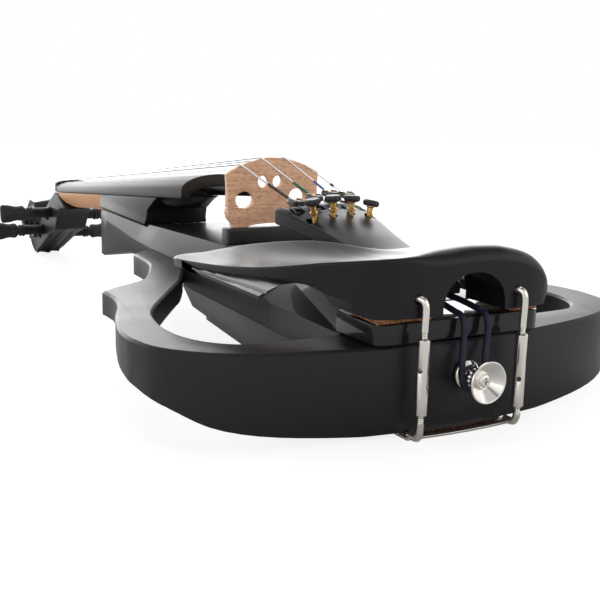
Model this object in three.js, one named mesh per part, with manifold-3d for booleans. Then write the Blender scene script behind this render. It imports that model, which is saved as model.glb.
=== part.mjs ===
// Electric violin with an open frame body, lying on its back.
// Built in the design frame: +X treble side, +Y from the tail to the scroll, +Z away from the back,
// X = 0 on the centre line, Y = 0 on the tail wall, and the frame's top face level. Millimetres.
// The last step tips the whole instrument by the angle at which it really lies.
import * as THREE from 'three';
import { mergeVertices } from 'three/addons/utils/BufferGeometryUtils.js';
import Module from 'manifold-3d';

const wasm = await Module();
wasm.setup();

// Driving dimensions
const LIE_DEG = 1.9;
const SEAT = 0.3;
const OVERRUN = 2;
const MERGE = 1e-4;

const frame = { top: 31, edge: 1, tailWall: 25, neckEnd: 236, tipY: 222.5, tipX: 40.2, tipRound: 1.2 };
const lowerBout = [[0, 0], [26, 2.2], [50, 6.1], [71, 11.4], [85.5, 18], [96, 27], [102.3, 36.5], [105, 50]];
const flank = [[105, 50], [104.7, 58], [103, 68], [97, 88], [90.7, 104], [87.6, 119], [88, 132]];
const waist = [[88, 132], [80.2, 138.3], [71.3, 144.6], [63.2, 151.7], [56.8, 162.7], [50.3, 177.5],
  [44.8, 193.9], [42.5, 221.6]];
const windowEdge = [[30.26, 188], [35.4, 171.5], [47.5, 145], [55, 132.8], [70.3, 108.6], [78.4, 95.1],
  [83.7, 83.6], [86.5, 72], [88, 60], [87.5, 49], [85.5, 41], [82, 34.5], [77, 29.5], [70, 26], [55, 25]];
const underside = [[4, 0], [18.7, 5.3], [34, 12.2], [63, 17.6], [78, 19], [130, 21], [236, 20]];

// Beyond every side of the instrument, for tools that cut right across it
const wide = lowerBout[lowerBout.length - 1][0] + OVERRUN;

const cap = { halfWidth: 36, front: 1.5, back: 27, corner: 5, rise: 7.6, backRise: 8.4, edge: 0.6 };
// Stations along the centre block: Y, side half width, top half width, bottom z, shoulder z, top z
const blockStations = [[25.4, 35.8, 28.5, 20.3, 31, 39.6], [82, 34.1, 26.4, 20.3, 31, 41.8],
  [152, 31.3, 24, 20.3, 31, 44.4], [177, 30.4, 23.3, 20.3, 31, 43.7], [236, 28, 20.9, 22, 31, 41.5],
  [258, 26.8, 20, 22.6, 31.5, 40.6], [262, 26.5, 20, 22.8, 31.5, 38.8], [275, 25.6, 19.6, 23.2, 32, 38.8],
  [302, 23.6, 19, 18.5, 33.4, 38.9], [331, 21.4, 18, 13.4, 34.5, 39], [345, 18.6, 17, 10.2, 35.5, 38.8],
  [359, 16, 15, 9.4, 36.5, 38.4]];
// Stations along the electronics housing: Y, half width, bottom z
const keelStations = [[25.9, 35.6, 1.9], [153.2, 31.1, 9.1], [153.7, 31, 10.5], [171.8, 30.4, 11.7],
  [185.6, 29.8, 19.6]];
const keel = { top: 20, wall: 2.4, floor: 2, start: 31, end: 148, slopeDeg: 3.24, footY: 25.9, footZ: 1.9 };
const door = { start: 30, length: 56, width: 32, thick: 2, lip: 3, knuckle: 1 };
const battery = { start: 33.5, length: 48.5, width: 26.5, height: 17.5, edge: 0.8, stud: 2.6, studRise: 2,
  studRoot: 1 };
const pocket = { margin: 1.2 };
const board = { start: 92, length: 26, width: 40, thick: 1.6, lift: 5, post: 2, inset: 4 };
const chips = [[99, -9, 9, 7, 2.2], [99, 6, 6, 6, 3.4], [109, -3, 8, 12, 1.8], [109, -15, 5, 5, 4.5]];
const knob = { radius: 5.6, height: 8, chamfer: 1.2, shaft: 1.8, potRadius: 4.6, potDepth: 7, bush: 2.9,
  markStart: 1, markHalf: 0.5, markDepth: 0.6, y: [104, 121] };
const jack = { y: [50, 76], nut: [5.6, 4.4], bore: [3.2, 1.8], barrel: [4.6, 3.3], body: 15, proud: 1.8 };
const controlZ = 14;

const heel = { front: 250.5, back: 360.2, waist: 268.8, foot: 39.3, topHalf: [18.6, 15.7], flare: 0.4,
  footHalf: [19.6, 16.6], scoop: 15.5, scoopY: 248, plinth: [1.4, 3] };
// Front face of the heel, seen from the side: Y, height above its foot
const heelNose = [[248.5, 17.4], [255, 15.2], [266.4, 8.6], [268.8, 0]];
const playing = { start: 208.5, end: 479, half: [21.1, 12.1], low: [60.3, 38.1], side: [4.3, 3.8],
  crown: [7.8, 3.6], hollow: [17.5, 5.6] };
// Hollow under the board's free end: its stations, and the share of its full section at each
const hollowAt = [206.5, 241, 249];
const hollowShares = [1, 0.94, 0.7];
const neck = { start: 360.5, end: 484, half: [15.2, 11.7], depth: [11.2, 11.4], chinFoot: 456, chinZ: 27.1,
  sides: 14 };
const nut = { start: 479.3, end: 484.2, half: 12, low: 38, crown: 2.53, side: 6.2, slot: 0.7, edge: 0.5 };

const head = { half: [12.3, 9.6], chinHalf: 12.1, wall: 4.6, edge: 0.6 };
const headProfile = [[484.6, 37.6], [486.4, 37.2], [500, 31], [528, 15.4], [546, 4.6], [552, 0],
  [556, -18.5], [541, -12.6], [520, -3.6], [503, 3.6], [494, 6.2], [487.5, 8.6], [483.5, 14], [474, 24.6],
  [458, 27.4], [479.3, 37.6]];
const pegbox = [[489, 48], [489, 17.5], [500, 12.6], [528, -2.4], [543, -8.4], [547, -3.4], [545, 30]];
const scroll = { y: 562, z: 6, turns: 3, startDeg: -112, steps: 20, outer: 27.8, inner: 3.2, advanceShare: 0.62,
  eye: 5, bevel: 1.2 };
// Half widths of the volute's turns, from the outermost to the eye
const turnHalves = [9, 12.2, 15.2, 17.6, 19.2];
// Pegs: place of the axis, and the first string lane inside the pegbox, which lies towards the peg's grip
const pegs = {
  g: { y: 500, z: 20.4, lane: -3.4 },
  d: { y: 528, z: 3.5, lane: -2.2 },
  a: { y: 541, z: -1.5, lane: 1.6 },
  e: { y: 512, z: 16.5, lane: 3.6 },
};
const peg = { shaft: 3.9, sides: 14, gripSides: 14 };
const pegLeanDeg = { g: 78, d: 78, a: 66, e: 66 };
// The peg's rounded tip: radius, distance past the cheek; then its collar: radius, distance from the middle
const pegTip = [[0, 2.6], [2.4, 1.8], [3.3, 0.8]];
const pegCollar = [[3.9, 26.4], [4.6, 26.8], [5, 28], [4.5, 29.4], [3.7, 30], [3.9, 31.4]];
// Sections of the peg's grip: distance from the middle, half width, half thickness
const grip = [[31.2, 4, 4], [33.5, 5.8, 4], [38, 5.4, 3.2], [44, 6.6, 2.9], [48.5, 6.9, 2.6], [50, 5, 1.6]];

// Strings: radius, X on the nut, X and notch z on the bridge, place of the ball end
const strings = {
  g: { radius: 0.42, nutX: -8.1, bridgeX: -16.9, notchZ: 80.8, endX: -15.2, endY: 98.4, endZ: 69.4 },
  d: { radius: 0.38, nutX: -2.7, bridgeX: -6.2, notchZ: 83.9, endX: -5.4, endY: 99.8, endZ: 71 },
  a: { radius: 0.34, nutX: 2.7, bridgeX: 6.2, notchZ: 83.8, endX: 5, endY: 104.2, endZ: 71.9 },
  e: { radius: 0.2, nutX: 8.1, bridgeX: 16.9, notchZ: 80.5, endX: 15, endY: 107, endZ: 70.8 },
};
const names = Object.keys(strings);
const stringEnd = { ball: 1.5, turns: 2.25, steps: 14, turnGap: 0.45, sides: 6 };
// Where a string bends, as shares of its runs: past the nut, before the nut, before the bridge, past the bridge
const bendShares = { pastNut: 0.03, beforeNut: 0.006, beforeBridge: 0.006, pastBridge: 0.04 };

const bridge = { y: 148.2, top: 1.5, foot: 4.4, footZ: 52.9, topZ: 86.9, archZ: 54.1, archHalf: 13.4, bevel: 0.3 };
const bridgeEdge = [[-20.5, 52.9], [-21, 54.6], [-23.4, 57.8], [-23.6, 61.2], [-23.6, 62], [-24, 77.5],
  [-16.9, 81.1], [-6.2, 84.2], [0, 84.6], [6.2, 84.1], [16.9, 80.8], [24, 77.5], [23.6, 62], [23.6, 61.2],
  [23.4, 57.8], [21, 54.6], [20.5, 52.9]];
const bridgeHoles = [[-13.8, 66.1, 4.1, 4.1], [13.6, 66.4, 3.6, 4.1], [-5.3, 73.4, 2.3, 3], [2.4, 73.8, 2.3, 3]];
const bridgeSlit = { height: 0.8, z: 61.6, end: 13.2 };
const pickup = { half: 24.3, front: 144.2, back: 152.1, low: 44.6, high: 52.6, edge: 0.8 };

// Tailpiece stations: Y, half width, bottom edge z, side top z, crest z
const tailStations = [[16, 7.2, 47.2, 49.8, 52.4], [19, 8.4, 48.2, 51.4, 54.2], [30, 10.6, 51.4, 54.4, 57.6],
  [45, 13.2, 54.6, 58.4, 61.4], [64, 15.8, 57, 61.6, 64.8], [86, 18.6, 58.3, 64.3, 67.6],
  [101, 20.2, 59.2, 65.3, 68.6], [107, 20.4, 59.8, 65.2, 68.4]];
const tailShell = { inset: 2.4, drop: 4.2, skin: 0.2, gutHole: 1.5, gutX: [-3, 5.2], gutY: 22, low: 40, high: 74 };
// Tuners: place of the knob's underside, lean of the screw, z of the lever's pin
const tuners = {
  g: { x: -14.6, y: 84.1, z: 70.8, leanDeg: -10, pivotZ: 64.8 },
  d: { x: -5.2, y: 83.6, z: 72, leanDeg: -3, pivotZ: 65.6 },
  a: { x: 5.2, y: 85.6, z: 72, leanDeg: 3, pivotZ: 65.6 },
  e: { x: 14.8, y: 85.3, z: 70.4, leanDeg: 12, pivotZ: 64.8 },
};
const tuner = { knob: 3.5, knobHeight: 2.4, knobSink: 0.2, knobEdge: 0.35, knurls: 12, knurlDepth: 0.28, screw: 1.35,
  length: 10.2, point: 0.6, washer: 2.1, washerThick: 1.1, slotHalf: 1.9, boreRun: 8 };
const lever = { half: 1.25, edge: 0.25, pivotY: 95.6, pin: 0.9, reach: 3.2, travel: 0.75,
  arm: 1.8, hub: 2, crest: 1, lip: 0.8, toe: 1.6, slotFront: 4.2, slotLow: 55, slotStep: 63.6 };

const button = { x: 0.8, z: 18.8, bore: 1.6, neck: 3.1, hole: 2.2, sides: 28 };
// The button's section: radius, distance out from the tail wall
const buttonSection = [[1.9, 0.3], [5.2, 0.3], [5.2, 1.4], [3.7, 2.6], [3.1, 4.4], [3.7, 6.4], [6.8, 11.8],
  [7.6, 12.5], [6.9, 13.2], [2.9, 9.6], [1.9, 9.6]];
// The button's screw: radius, distance in from the front of its head
const screwSection = [[0, 0], [2, 0], [2.6, 0.8], [2.6, 1.3], [1.6, 1.3], [1.6, 26], [0.6, 27.2], [0, 27.8]];
const buttonScrew = { front: -11.4, length: 26, sides: 14, slot: 0.5, slotArm: 1.7, slotDepth: 0.7 };
const gut = { radius: 1.15, sides: 6, steps: 56, ring: 0.3, loopY: -4.6, dropY: -3.4, dropZ: 26, dropShare: 0.7 };
// Each strand's run from the tailpiece over the cap: Y, z, and the share of its way from its hole out to its spread
const gutSpread = [-2.2, 7.6];
const gutRun = [[22, 53], [22, 49.6], [21.5, 47.6], [18.5, 45.8], [12, 43.6], [3.4, 40.6], [0.3, 40], [-1.5, 37.5],
  [-1.9, 33]];
const gutShares = [0, 0, 0, 0, 0.5, 1, 1, 1, 1];
const gutLoopDeg = [200, 225, 250, 270, 290, 315, 340];

// Chinrest stations: X, near Y and z, far Y and z, dish drop, underside z at the near wall
const restStations = [[-69.6, 89, 50.2, 97.5, 49.6, 0.6, 48], [-68, 75, 51, 100.4, 49.8, 1.6, 48.8],
  [-65, 55, 52.6, 102, 50, 2.6, 50], [-61, 37, 54.9, 102.6, 50.2, 3.4, 51.2], [-55, 20, 58.1, 102.4, 50.4, 4.6, 51.4],
  [-50.5, 12, 59.8, 102, 51, 5.2, 50.3], [-45, 6, 60.8, 101, 51.8, 5.4, 47.4], [-41, 3, 61.3, 99.4, 52.6, 5.4, 46],
  [-37, 0.8, 61.6, 96, 53.6, 5.2, 46], [-33, -0.9, 61.9, 89, 55, 4.8, 46], [-29.6, -1.9, 62.1, 79, 56.8, 4.2, 46],
  [-27, -2.4, 62.3, 64, 59, 3.4, 46], [-24.6, -2.7, 62.5, 48, 60.2, 2.4, 46], [-22, -2.9, 62.7, 34, 60.4, 1.4, 46],
  [-18, -3, 62.9, 26, 60.6, 0.2, 46], [-10, -3, 63.3, 23.4, 61.2, -0.4, 46], [2, -3, 63.9, 22.6, 61.6, -0.6, 46],
  [12, -3, 63.2, 22.4, 61, -0.6, 46], [20, -2.8, 61.2, 22, 58.8, -0.6, 46], [27, -2.2, 57.6, 21.4, 55.6, -0.6, 46],
  [32, -1, 53.4, 20, 52, -0.5, 46], [35, 1, 49.8, 18.4, 49.2, -0.3, 45.4], [36.4, 4, 47.4, 14, 47.2, -0.1, 45]];
const rest = { shell: 3.4, rimIn: 2.4, rimDrop: 1.3, skin: 0.2, lip: 1.8, farWall: 2.2, floor: 41.4, barStart: -20,
  footBack: 22, toe: 4 };
// Shares of the chinrest's width across its dish, and shares of its rim along the rounded edges
const dishShares = [0.16, 0.33, 0.5, 0.67, 0.84];
const rimShares = { most: 0.2, round: 0.3, nearDrop: 1.6, roundDrop: 0.4, farDrop: 1.1, farTuck: 0.4, underFar: 0.66,
  underNear: 0.33, toe: 0.3, toeDeep: 0.1 };
// The foot in front view, X and z, and its plan behind the near wall, X and Y
const restFoot = [[-48.5, 50.4], [-45, 47.2], [-41.3, 42.4], [-38, 41.3], [34, 41.3], [36.2, 45.4], [36.2, 46.5],
  [34, 48], [20, 52], [-48.5, 52]];
const restPlan = [[36.4, 16], [33, 22], [-50, 22], [-69.6, 95]];
const restArch = { left: -12.4, right: 14.4, sill: 41.2, spring: 3 };
// The tunnel for the tailpiece, from front to back: Y, z of its crown
const archRun = [[-10, 54.9], [4, 55.9], [34, 60]];
const cork = { low: 38.9, high: 41, left: [-35.5, -12.9], right: [21.6, 34.2], front: 2.6, back: 22, backLow: 39.7,
  edge: 0.3 };

// Clamp legs: X, bottom and top z of the barrel
const legs = {
  bass: { x: -21.5, low: 7.7, high: 35 },
  treble: { x: 21, low: 5.2, high: 32.6 },
};
const clamp = { y: -5.2, rod: 1.35, rodSides: 10, barrel: 2.15, barrelSides: 18, hole: 0.75, chamfer: 0.5 };
// The upper hook's bend: X and Y from the rod, z; its last two points are the tip in the chinrest
const hookRise = 4;
const hookBend = [[0, 0, 45.7], [-0.5, 0.6, 47.4], [-1.1, 1.8, 48], [-1.8, 7.8, 46]];
// The lower foot's bend: Y from the rod, z
const footDrop = 2;
const footBend = [[0.3, 1.2], [1.4, -0.35], [3.2, -0.75], [6, -0.75]];
// The plate that joins the feet, and the cork between it and the tail
const footPlate = { low: -2.1, high: -1.2, sag: -2.4, side: -0.8, back: 8, half: 23.6, edge: 0.2 };
const tailCork = { low: -0.9, high: -0.25, half: 19.4, sag: -1.5, side: 0.2, back: 3.9 };

// Materials
const finish = (name, color, roughness, metalness = 0) =>
  Object.assign(new THREE.MeshStandardMaterial({ color, roughness, metalness }), { name });
const satin = () => finish('satin_black', 0x1b1b1d, 0.45);
const gloss = () => finish('gloss_black', 0x0d0d0f, 0.15);
const ebony = () => finish('ebony_black', 0x151416, 0.35);
const mapleWood = () => finish('maple', 0xd9a877, 0.5);
const nickel = () => finish('nickel', 0xcfcac2, 0.2, 1);
const brass = () => finish('brass', 0xb98a3c, 0.3, 1);
const steel = () => finish('string_steel', 0xd8d8dc, 0.25, 1);
const corkStuff = () => finish('cork', 0xa9714a, 0.9);
const plastic = () => finish('black_plastic', 0x202022, 0.5);
const cordBlue = () => finish('tail_gut', 0x151b38, 0.5);
const fibre = () => finish('circuit_board', 0x1f5a35, 0.5);
const cell = () => finish('battery_case', 0x50545a, 0.4, 0.5);

// Small arithmetic helpers
const lerp = THREE.MathUtils.lerp;
const rad = THREE.MathUtils.degToRad;
const along = (y, from, to, pair) => lerp(pair[0], pair[1], (y - from) / (to - from));
const mirrored = (points) => points.map(([u, v]) => [-u, v]).reverse();
const spline = (points, count) =>
  new THREE.SplineCurve(points.map(([u, v]) => new THREE.Vector2(u, v))).getPoints(count).map((p) => [p.x, p.y]);
const shapeOf = (points) => new THREE.Shape(points.map(([u, v]) => new THREE.Vector2(u, v)));
const ellipse = (cu, cv, ru, rv, count, from = 0, to = 2 * Math.PI) =>
  Array.from({ length: count }, (_, i) => {
    const angle = from + ((to - from) * i) / (to - from >= 2 * Math.PI ? count : count - 1);
    return [cu + ru * Math.cos(angle), cv + rv * Math.sin(angle)];
  });

// Solids as plain geometries; booleans go through the solid kernel
function toSolid(geometry) {
  const plain = geometry.index ? geometry.toNonIndexed() : geometry.clone();
  plain.deleteAttribute('normal');
  plain.deleteAttribute('uv');
  const merged = mergeVertices(plain, MERGE);
  return new wasm.Manifold(new wasm.Mesh({
    numProp: 3,
    vertProperties: new Float32Array(merged.attributes.position.array),
    triVerts: new Uint32Array(merged.index.array),
  }));
}

function toGeometry(solid) {
  const mesh = solid.getMesh();
  const geometry = new THREE.BufferGeometry();
  geometry.setAttribute('position', new THREE.BufferAttribute(new Float32Array(mesh.vertProperties), 3));
  geometry.setIndex(new THREE.BufferAttribute(new Uint32Array(mesh.triVerts), 1));
  return geometry;
}

const join = (...parts) => toGeometry(parts.map(toSolid).reduce((a, b) => a.add(b)));
const cut = (body, ...tools) => toGeometry(tools.map(toSolid).reduce((a, b) => a.subtract(b), toSolid(body)));
const common = (a, b) => toGeometry(toSolid(a).intersect(toSolid(b)));

function prism(outline, axis, from, to, edge = 0, rounds = 1) {
  const depth = to - from;
  const geometry = new THREE.ExtrudeGeometry(shapeOf(outline), {
    depth: depth - 2 * edge,
    bevelEnabled: edge > 0,
    bevelThickness: edge,
    bevelSize: edge,
    bevelOffset: -edge,
    bevelSegments: rounds,
    curveSegments: 12,
  });
  geometry.translate(0, 0, edge);
  const basis = new THREE.Matrix4();
  const X = new THREE.Vector3(1, 0, 0);
  const Y = new THREE.Vector3(0, 1, 0);
  const Z = new THREE.Vector3(0, 0, 1);
  if (axis === 'x') basis.makeBasis(Y, Z, X).setPosition(from, 0, 0);
  if (axis === 'y') basis.makeBasis(X, Z, Y.clone().negate()).setPosition(0, to, 0);
  if (axis === 'z') basis.makeBasis(X, Y, Z).setPosition(0, 0, from);
  return geometry.applyMatrix4(basis);
}

function box(x0, x1, y0, y1, z0, z1) {
  return new THREE.BoxGeometry(x1 - x0, y1 - y0, z1 - z0)
    .translate((x0 + x1) / 2, (y0 + y1) / 2, (z0 + z1) / 2);
}

// A closed skin over rings of equal length; each ring must be star-shaped about its middle
function loft(rings) {
  const count = rings[0].length;
  const points = rings.flat();
  const faces = [];
  for (let r = 0; r + 1 < rings.length; r += 1) {
    for (let i = 0; i < count; i += 1) {
      const a = r * count + i;
      const b = r * count + ((i + 1) % count);
      faces.push(a, b, b + count, a, b + count, a + count);
    }
  }
  const closeEnd = (ring, offset, flip) => {
    const middle = ring.reduce((sum, p) => sum.add(p), new THREE.Vector3()).divideScalar(count);
    points.push(middle);
    const m = points.length - 1;
    for (let i = 0; i < count; i += 1) {
      const a = offset + i;
      const b = offset + ((i + 1) % count);
      if (flip) faces.push(m, a, b);
      else faces.push(m, b, a);
    }
  };
  closeEnd(rings[0], 0, false);
  closeEnd(rings[rings.length - 1], (rings.length - 1) * count, true);
  const geometry = new THREE.BufferGeometry();
  geometry.setAttribute('position', new THREE.Float32BufferAttribute(points.flatMap((p) => p.toArray()), 3));
  geometry.setIndex(faces);
  return signedVolume(geometry) < 0 ? turnedInsideOut(geometry) : geometry;
}

function signedVolume(geometry) {
  const p = geometry.attributes.position;
  const corner = (i) => new THREE.Vector3().fromBufferAttribute(p, i);
  let sum = 0;
  const index = geometry.index.array;
  for (let i = 0; i < index.length; i += 3) {
    sum += corner(index[i]).dot(corner(index[i + 1]).cross(corner(index[i + 2])));
  }
  return sum;
}

function turnedInsideOut(geometry) {
  const index = Array.from(geometry.index.array);
  for (let i = 0; i < index.length; i += 3) [index[i], index[i + 1]] = [index[i + 1], index[i]];
  geometry.setIndex(index);
  return geometry;
}

const ringAtY = (y, outline) => outline.map(([x, z]) => new THREE.Vector3(x, y, z));
const ringAtX = (x, outline) => outline.map(([y, z]) => new THREE.Vector3(x, y, z));

// A turned piece: profile of [radius, height] about an axis through start, pointing along direction
function turned(profile, start, direction, sides) {
  const points = profile.map(([r, h]) => new THREE.Vector2(r, h));
  const geometry = new THREE.LatheGeometry(points, sides);
  const turn = new THREE.Quaternion().setFromUnitVectors(new THREE.Vector3(0, 1, 0), direction.clone().normalize());
  return geometry.applyQuaternion(turn).translate(start.x, start.y, start.z);
}

const V = (x, y, z) => new THREE.Vector3(x, y, z);

function rod(a, b, radius, sides = 16) {
  const length = a.distanceTo(b);
  return turned([[0, 0], [radius, 0], [radius, length], [0, length]], a, b.clone().sub(a), sides);
}

// A round rod or cord through the given points, its rings carried along without twisting
function sweep(points, radius, sides) {
  const tangents = points.map((p, i) => points[Math.min(i + 1, points.length - 1)].clone()
    .sub(points[Math.max(i - 1, 0)]).normalize());
  const lead = Math.abs(tangents[0].x) < 0.9 ? V(1, 0, 0) : V(0, 0, 1);
  let across = lead.clone().cross(tangents[0]).normalize();
  return loft(points.map((p, i) => {
    across = across.clone().addScaledVector(tangents[i], -across.dot(tangents[i])).normalize();
    const up = tangents[i].clone().cross(across);
    return ellipse(0, 0, radius, radius, sides)
      .map(([u, v]) => p.clone().addScaledVector(across, u).addScaledVector(up, v));
  }));
}

const smooth = (points, count) => new THREE.CatmullRomCurve3(points, false, 'centripetal').getPoints(count);

// Body frame: outline with the window opening left in, then the thin back line of the bouts
function bodyFrame() {
  const opening = [...spline(windowEdge, 34), [cap.halfWidth, frame.tailWall]];
  const blockSide = [[blockHalf(frame.neckEnd) + SEAT, frame.neckEnd]];
  const half = [...spline(lowerBout, 20).slice(1), ...spline(flank, 12).slice(1), ...spline(waist, 18).slice(1),
    [frame.tipX, frame.tipY + frame.tipRound], ...blockSide, ...opening];
  const outline = [[0, 0], ...half, ...mirrored(half)];
  const slab = prism(outline, 'z', -OVERRUN * 2, frame.top, frame.edge);
  const belly = [[-OVERRUN, 0], ...spline(underside, 26),
    [frame.neckEnd + OVERRUN, underside[underside.length - 1][1]],
    [frame.neckEnd + OVERRUN, frame.top + OVERRUN], [-OVERRUN, frame.top + OVERRUN]];
  const body = common(slab, prism(belly, 'x', -wide, wide));
  const hole = rod(V(button.x, -OVERRUN, button.z), V(button.x, buttonScrew.length, button.z), button.hole);
  return cut(body, hole);
}

function blockRow(y) {
  const next = blockStations.findIndex((row) => row[0] >= y);
  const b = blockStations[Math.max(next, 1)];
  const a = blockStations[Math.max(next, 1) - 1];
  return a.map((value, i) => lerp(value, b[i], (y - a[0]) / (b[0] - a[0])));
}

const blockHalf = (y) => blockRow(y)[1];
const blockTop = (y) => blockRow(y)[5];

function centreBlock() {
  const core = loft(blockStations.map(([y, side, top, low, shoulder, high]) => ringAtY(y, [[-side, low],
    [-side, shoulder], [-top, high], [top, high], [side, shoulder], [side, low]])));
  const rounded = (x) => ellipse(x, cap.front + cap.corner, cap.corner, cap.corner, 6, -Math.PI / 2, 0);
  const right = rounded(cap.halfWidth - cap.corner);
  const side = [...right, [cap.halfWidth, cap.back + cap.edge]];
  const plan = [...side, ...mirrored(side)];
  const lid = prism(plan, 'z', frame.top + SEAT, frame.top + cap.backRise, cap.edge);
  const slope = [[-OVERRUN, frame.top - OVERRUN], [cap.back + OVERRUN, frame.top - OVERRUN],
    [cap.back + OVERRUN, frame.top + cap.backRise], [cap.front, frame.top + cap.rise],
    [-OVERRUN, frame.top + cap.rise]];
  const tailCap = common(lid, prism(slope, 'x', -wide, wide));
  const bay = keelFrame(box(-battery.width / 2 - pocket.margin, battery.width / 2 + pocket.margin,
    battery.start - pocket.margin - battery.stud, battery.start + battery.length + pocket.margin,
    0, door.thick + SEAT + battery.height + pocket.margin));
  return cut(join(core, tailCap), bay);
}

// Frame of the electronics housing: Y along its sloping floor, Z up from the floor's outer face
function keelFrame(geometry) {
  return geometry.rotateX(rad(keel.slopeDeg)).translate(0, keel.footY, keel.footZ);
}

function controlAxis(y) {
  const side = along(y, keelStations[0][0], keelStations[1][0], [keelStations[0][1], keelStations[1][1]]);
  return V(side, y, controlZ);
}

function electronicsHousing() {
  const section = (half, low, high) => [[-half, low], [-half, high], [half, high], [half, low]];
  const shell = loft(keelStations.map(([y, half, low]) => ringAtY(y, section(half, low, keel.top))));
  const inner = [keel.start, keel.end].map((y) => {
    const half = controlAxis(y).x - keel.wall;
    const low = lerp(keelStations[0][2], keelStations[1][2],
      (y - keelStations[0][0]) / (keelStations[1][0] - keelStations[0][0])) + keel.floor;
    return ringAtY(y, section(half, low, keel.top + OVERRUN));
  });
  const doorway = keelFrame(box(-door.width / 2 - SEAT, door.width / 2 + SEAT, door.start - SEAT,
    door.start + door.length + SEAT, -OVERRUN, keel.floor + OVERRUN));
  const bores = [...knob.y.map((y) => [y, knob.bush + SEAT]), ...jack.y.map((y, i) => [y, jack.barrel[i] + SEAT])];
  const tools = bores.map(([y, r]) => rod(controlAxis(y).add(V(-OVERRUN * 2, 0, 0)),
    controlAxis(y).add(V(OVERRUN, 0, 0)), r));
  const hollow = cut(shell, loft(inner), doorway, ...tools);
  const posts = [-1, 1].flatMap((side) => [board.start + board.inset, board.start + board.length - board.inset]
    .map((s) => keelFrame(rod(V(side * (board.width / 2 - board.inset), s, keel.floor / 2),
      V(side * (board.width / 2 - board.inset), s, board.lift - SEAT), board.post, 12))));
  return join(hollow, ...posts);
}

function batteryDoor() {
  const end = door.start + door.length;
  const round = door.knuckle;
  const arc = ellipse(door.start + round, round, round, round, 7, Math.PI / 2, 1.5 * Math.PI);
  const plate = prism([...arc, [end, 0], [end, door.thick]], 'x', -door.width / 2, door.width / 2);
  const notch = box(-door.lip, door.lip, end - door.lip, end - door.lip / 2, -OVERRUN, door.thick / 2);
  return keelFrame(cut(plate, notch));
}

function batteryCell() {
  const low = door.thick + SEAT;
  const half = battery.width / 2;
  const section = [[-half, low], [half, low], [half, low + battery.height], [-half, low + battery.height]];
  const body = prism(section, 'y', battery.start, battery.start + battery.length, battery.edge);
  const level = low + battery.height / 2;
  const studs = [-1, 1].map((side) => rod(V(side * half / 2, battery.start + battery.studRoot, level),
    V(side * half / 2, battery.start - battery.studRise, level), battery.stud, 12));
  return keelFrame(join(body, ...studs));
}

function circuitBoard() {
  const base = box(-board.width / 2, board.width / 2, board.start, board.start + board.length,
    board.lift, board.lift + board.thick);
  const parts = chips.map(([s, x, l, w, h]) => box(x, x + w, s, s + l, board.lift + board.thick / 2,
    board.lift + board.thick + h));
  return keelFrame(join(base, ...parts));
}

function outputJack(i) {
  const face = controlAxis(jack.y[i]);
  const proud = jack.proud;
  const depth = jack.body;
  const profile = [[0, -depth], [jack.nut[i], -depth], [jack.nut[i], -keel.wall - SEAT * 3],
    [jack.barrel[i], -keel.wall - SEAT * 3], [jack.barrel[i], SEAT * 2], [jack.nut[i], SEAT * 2],
    [jack.nut[i], proud], [jack.bore[i], proud], [jack.bore[i], -depth + keel.wall], [0, -depth + keel.wall]];
  return turned(profile, face, V(1, 0, 0), 18);
}

function potentiometer(y) {
  const face = controlAxis(y);
  const inner = -keel.wall - SEAT * 3;
  const profile = [[0, inner - knob.potDepth], [knob.potRadius, inner - knob.potDepth], [knob.potRadius, inner],
    [knob.bush, inner], [knob.bush, SEAT * 2], [knob.shaft + SEAT, SEAT * 2], [knob.shaft + SEAT, inner], [0, inner]];
  return turned(profile, face, V(1, 0, 0), 18);
}

function controlKnob(y) {
  const face = controlAxis(y);
  const start = SEAT * 4;
  const end = start + knob.height;
  const inner = -keel.wall - SEAT * 2;
  const body = turned([[0, inner], [knob.shaft, inner], [knob.shaft, start], [knob.radius, start],
    [knob.radius, end - knob.chamfer], [knob.radius - knob.chamfer, end], [0, end]], face, V(1, 0, 0), 24);
  const mark = box(face.x + end - knob.markDepth, face.x + end + OVERRUN, y - knob.markHalf, y + knob.markHalf,
    controlZ + knob.markStart, controlZ + knob.radius + OVERRUN);
  return cut(body, mark);
}

// Neck heel: the black pedestal that lifts the neck off the block
const boardLow = (y) => along(y, playing.start, playing.end, playing.low);

function neckHeel() {
  const ring = (y) => {
    const top = along(y, heel.front, heel.back, heel.topHalf);
    const foot = along(y, heel.front, heel.back, heel.footHalf);
    const high = boardLow(y) - SEAT;
    return ringAtY(y, [[-foot, heel.foot], [-foot, heel.foot + heel.plinth[0]],
      [-top - heel.flare, heel.foot + heel.plinth[1]], [-top, high], [top, high],
      [top + heel.flare, heel.foot + heel.plinth[1]],
      [foot, heel.foot + heel.plinth[0]], [foot, heel.foot]]);
  };
  const solid = loft([ring(heel.front), ring(heel.back)]);
  const nose = heelNose.map(([y, rise]) => [y, heel.foot + rise]).reverse();
  const frontFace = [[heel.front - OVERRUN, heel.foot - OVERRUN], [heel.waist, heel.foot - OVERRUN], ...nose];
  const scoop = rod(V(0, heel.scoopY, heel.foot - OVERRUN), V(0, heel.scoopY, boardLow(heel.front) + OVERRUN),
    heel.scoop, 28);
  const relief = common(scoop, box(-heel.scoop * 2, heel.scoop * 2, heel.front - OVERRUN, heel.waist + heel.scoop,
    heel.foot + heel.plinth[1], boardLow(heel.front) + OVERRUN));
  return cut(solid, prism(frontFace, 'x', -wide, wide), relief);
}

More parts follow.
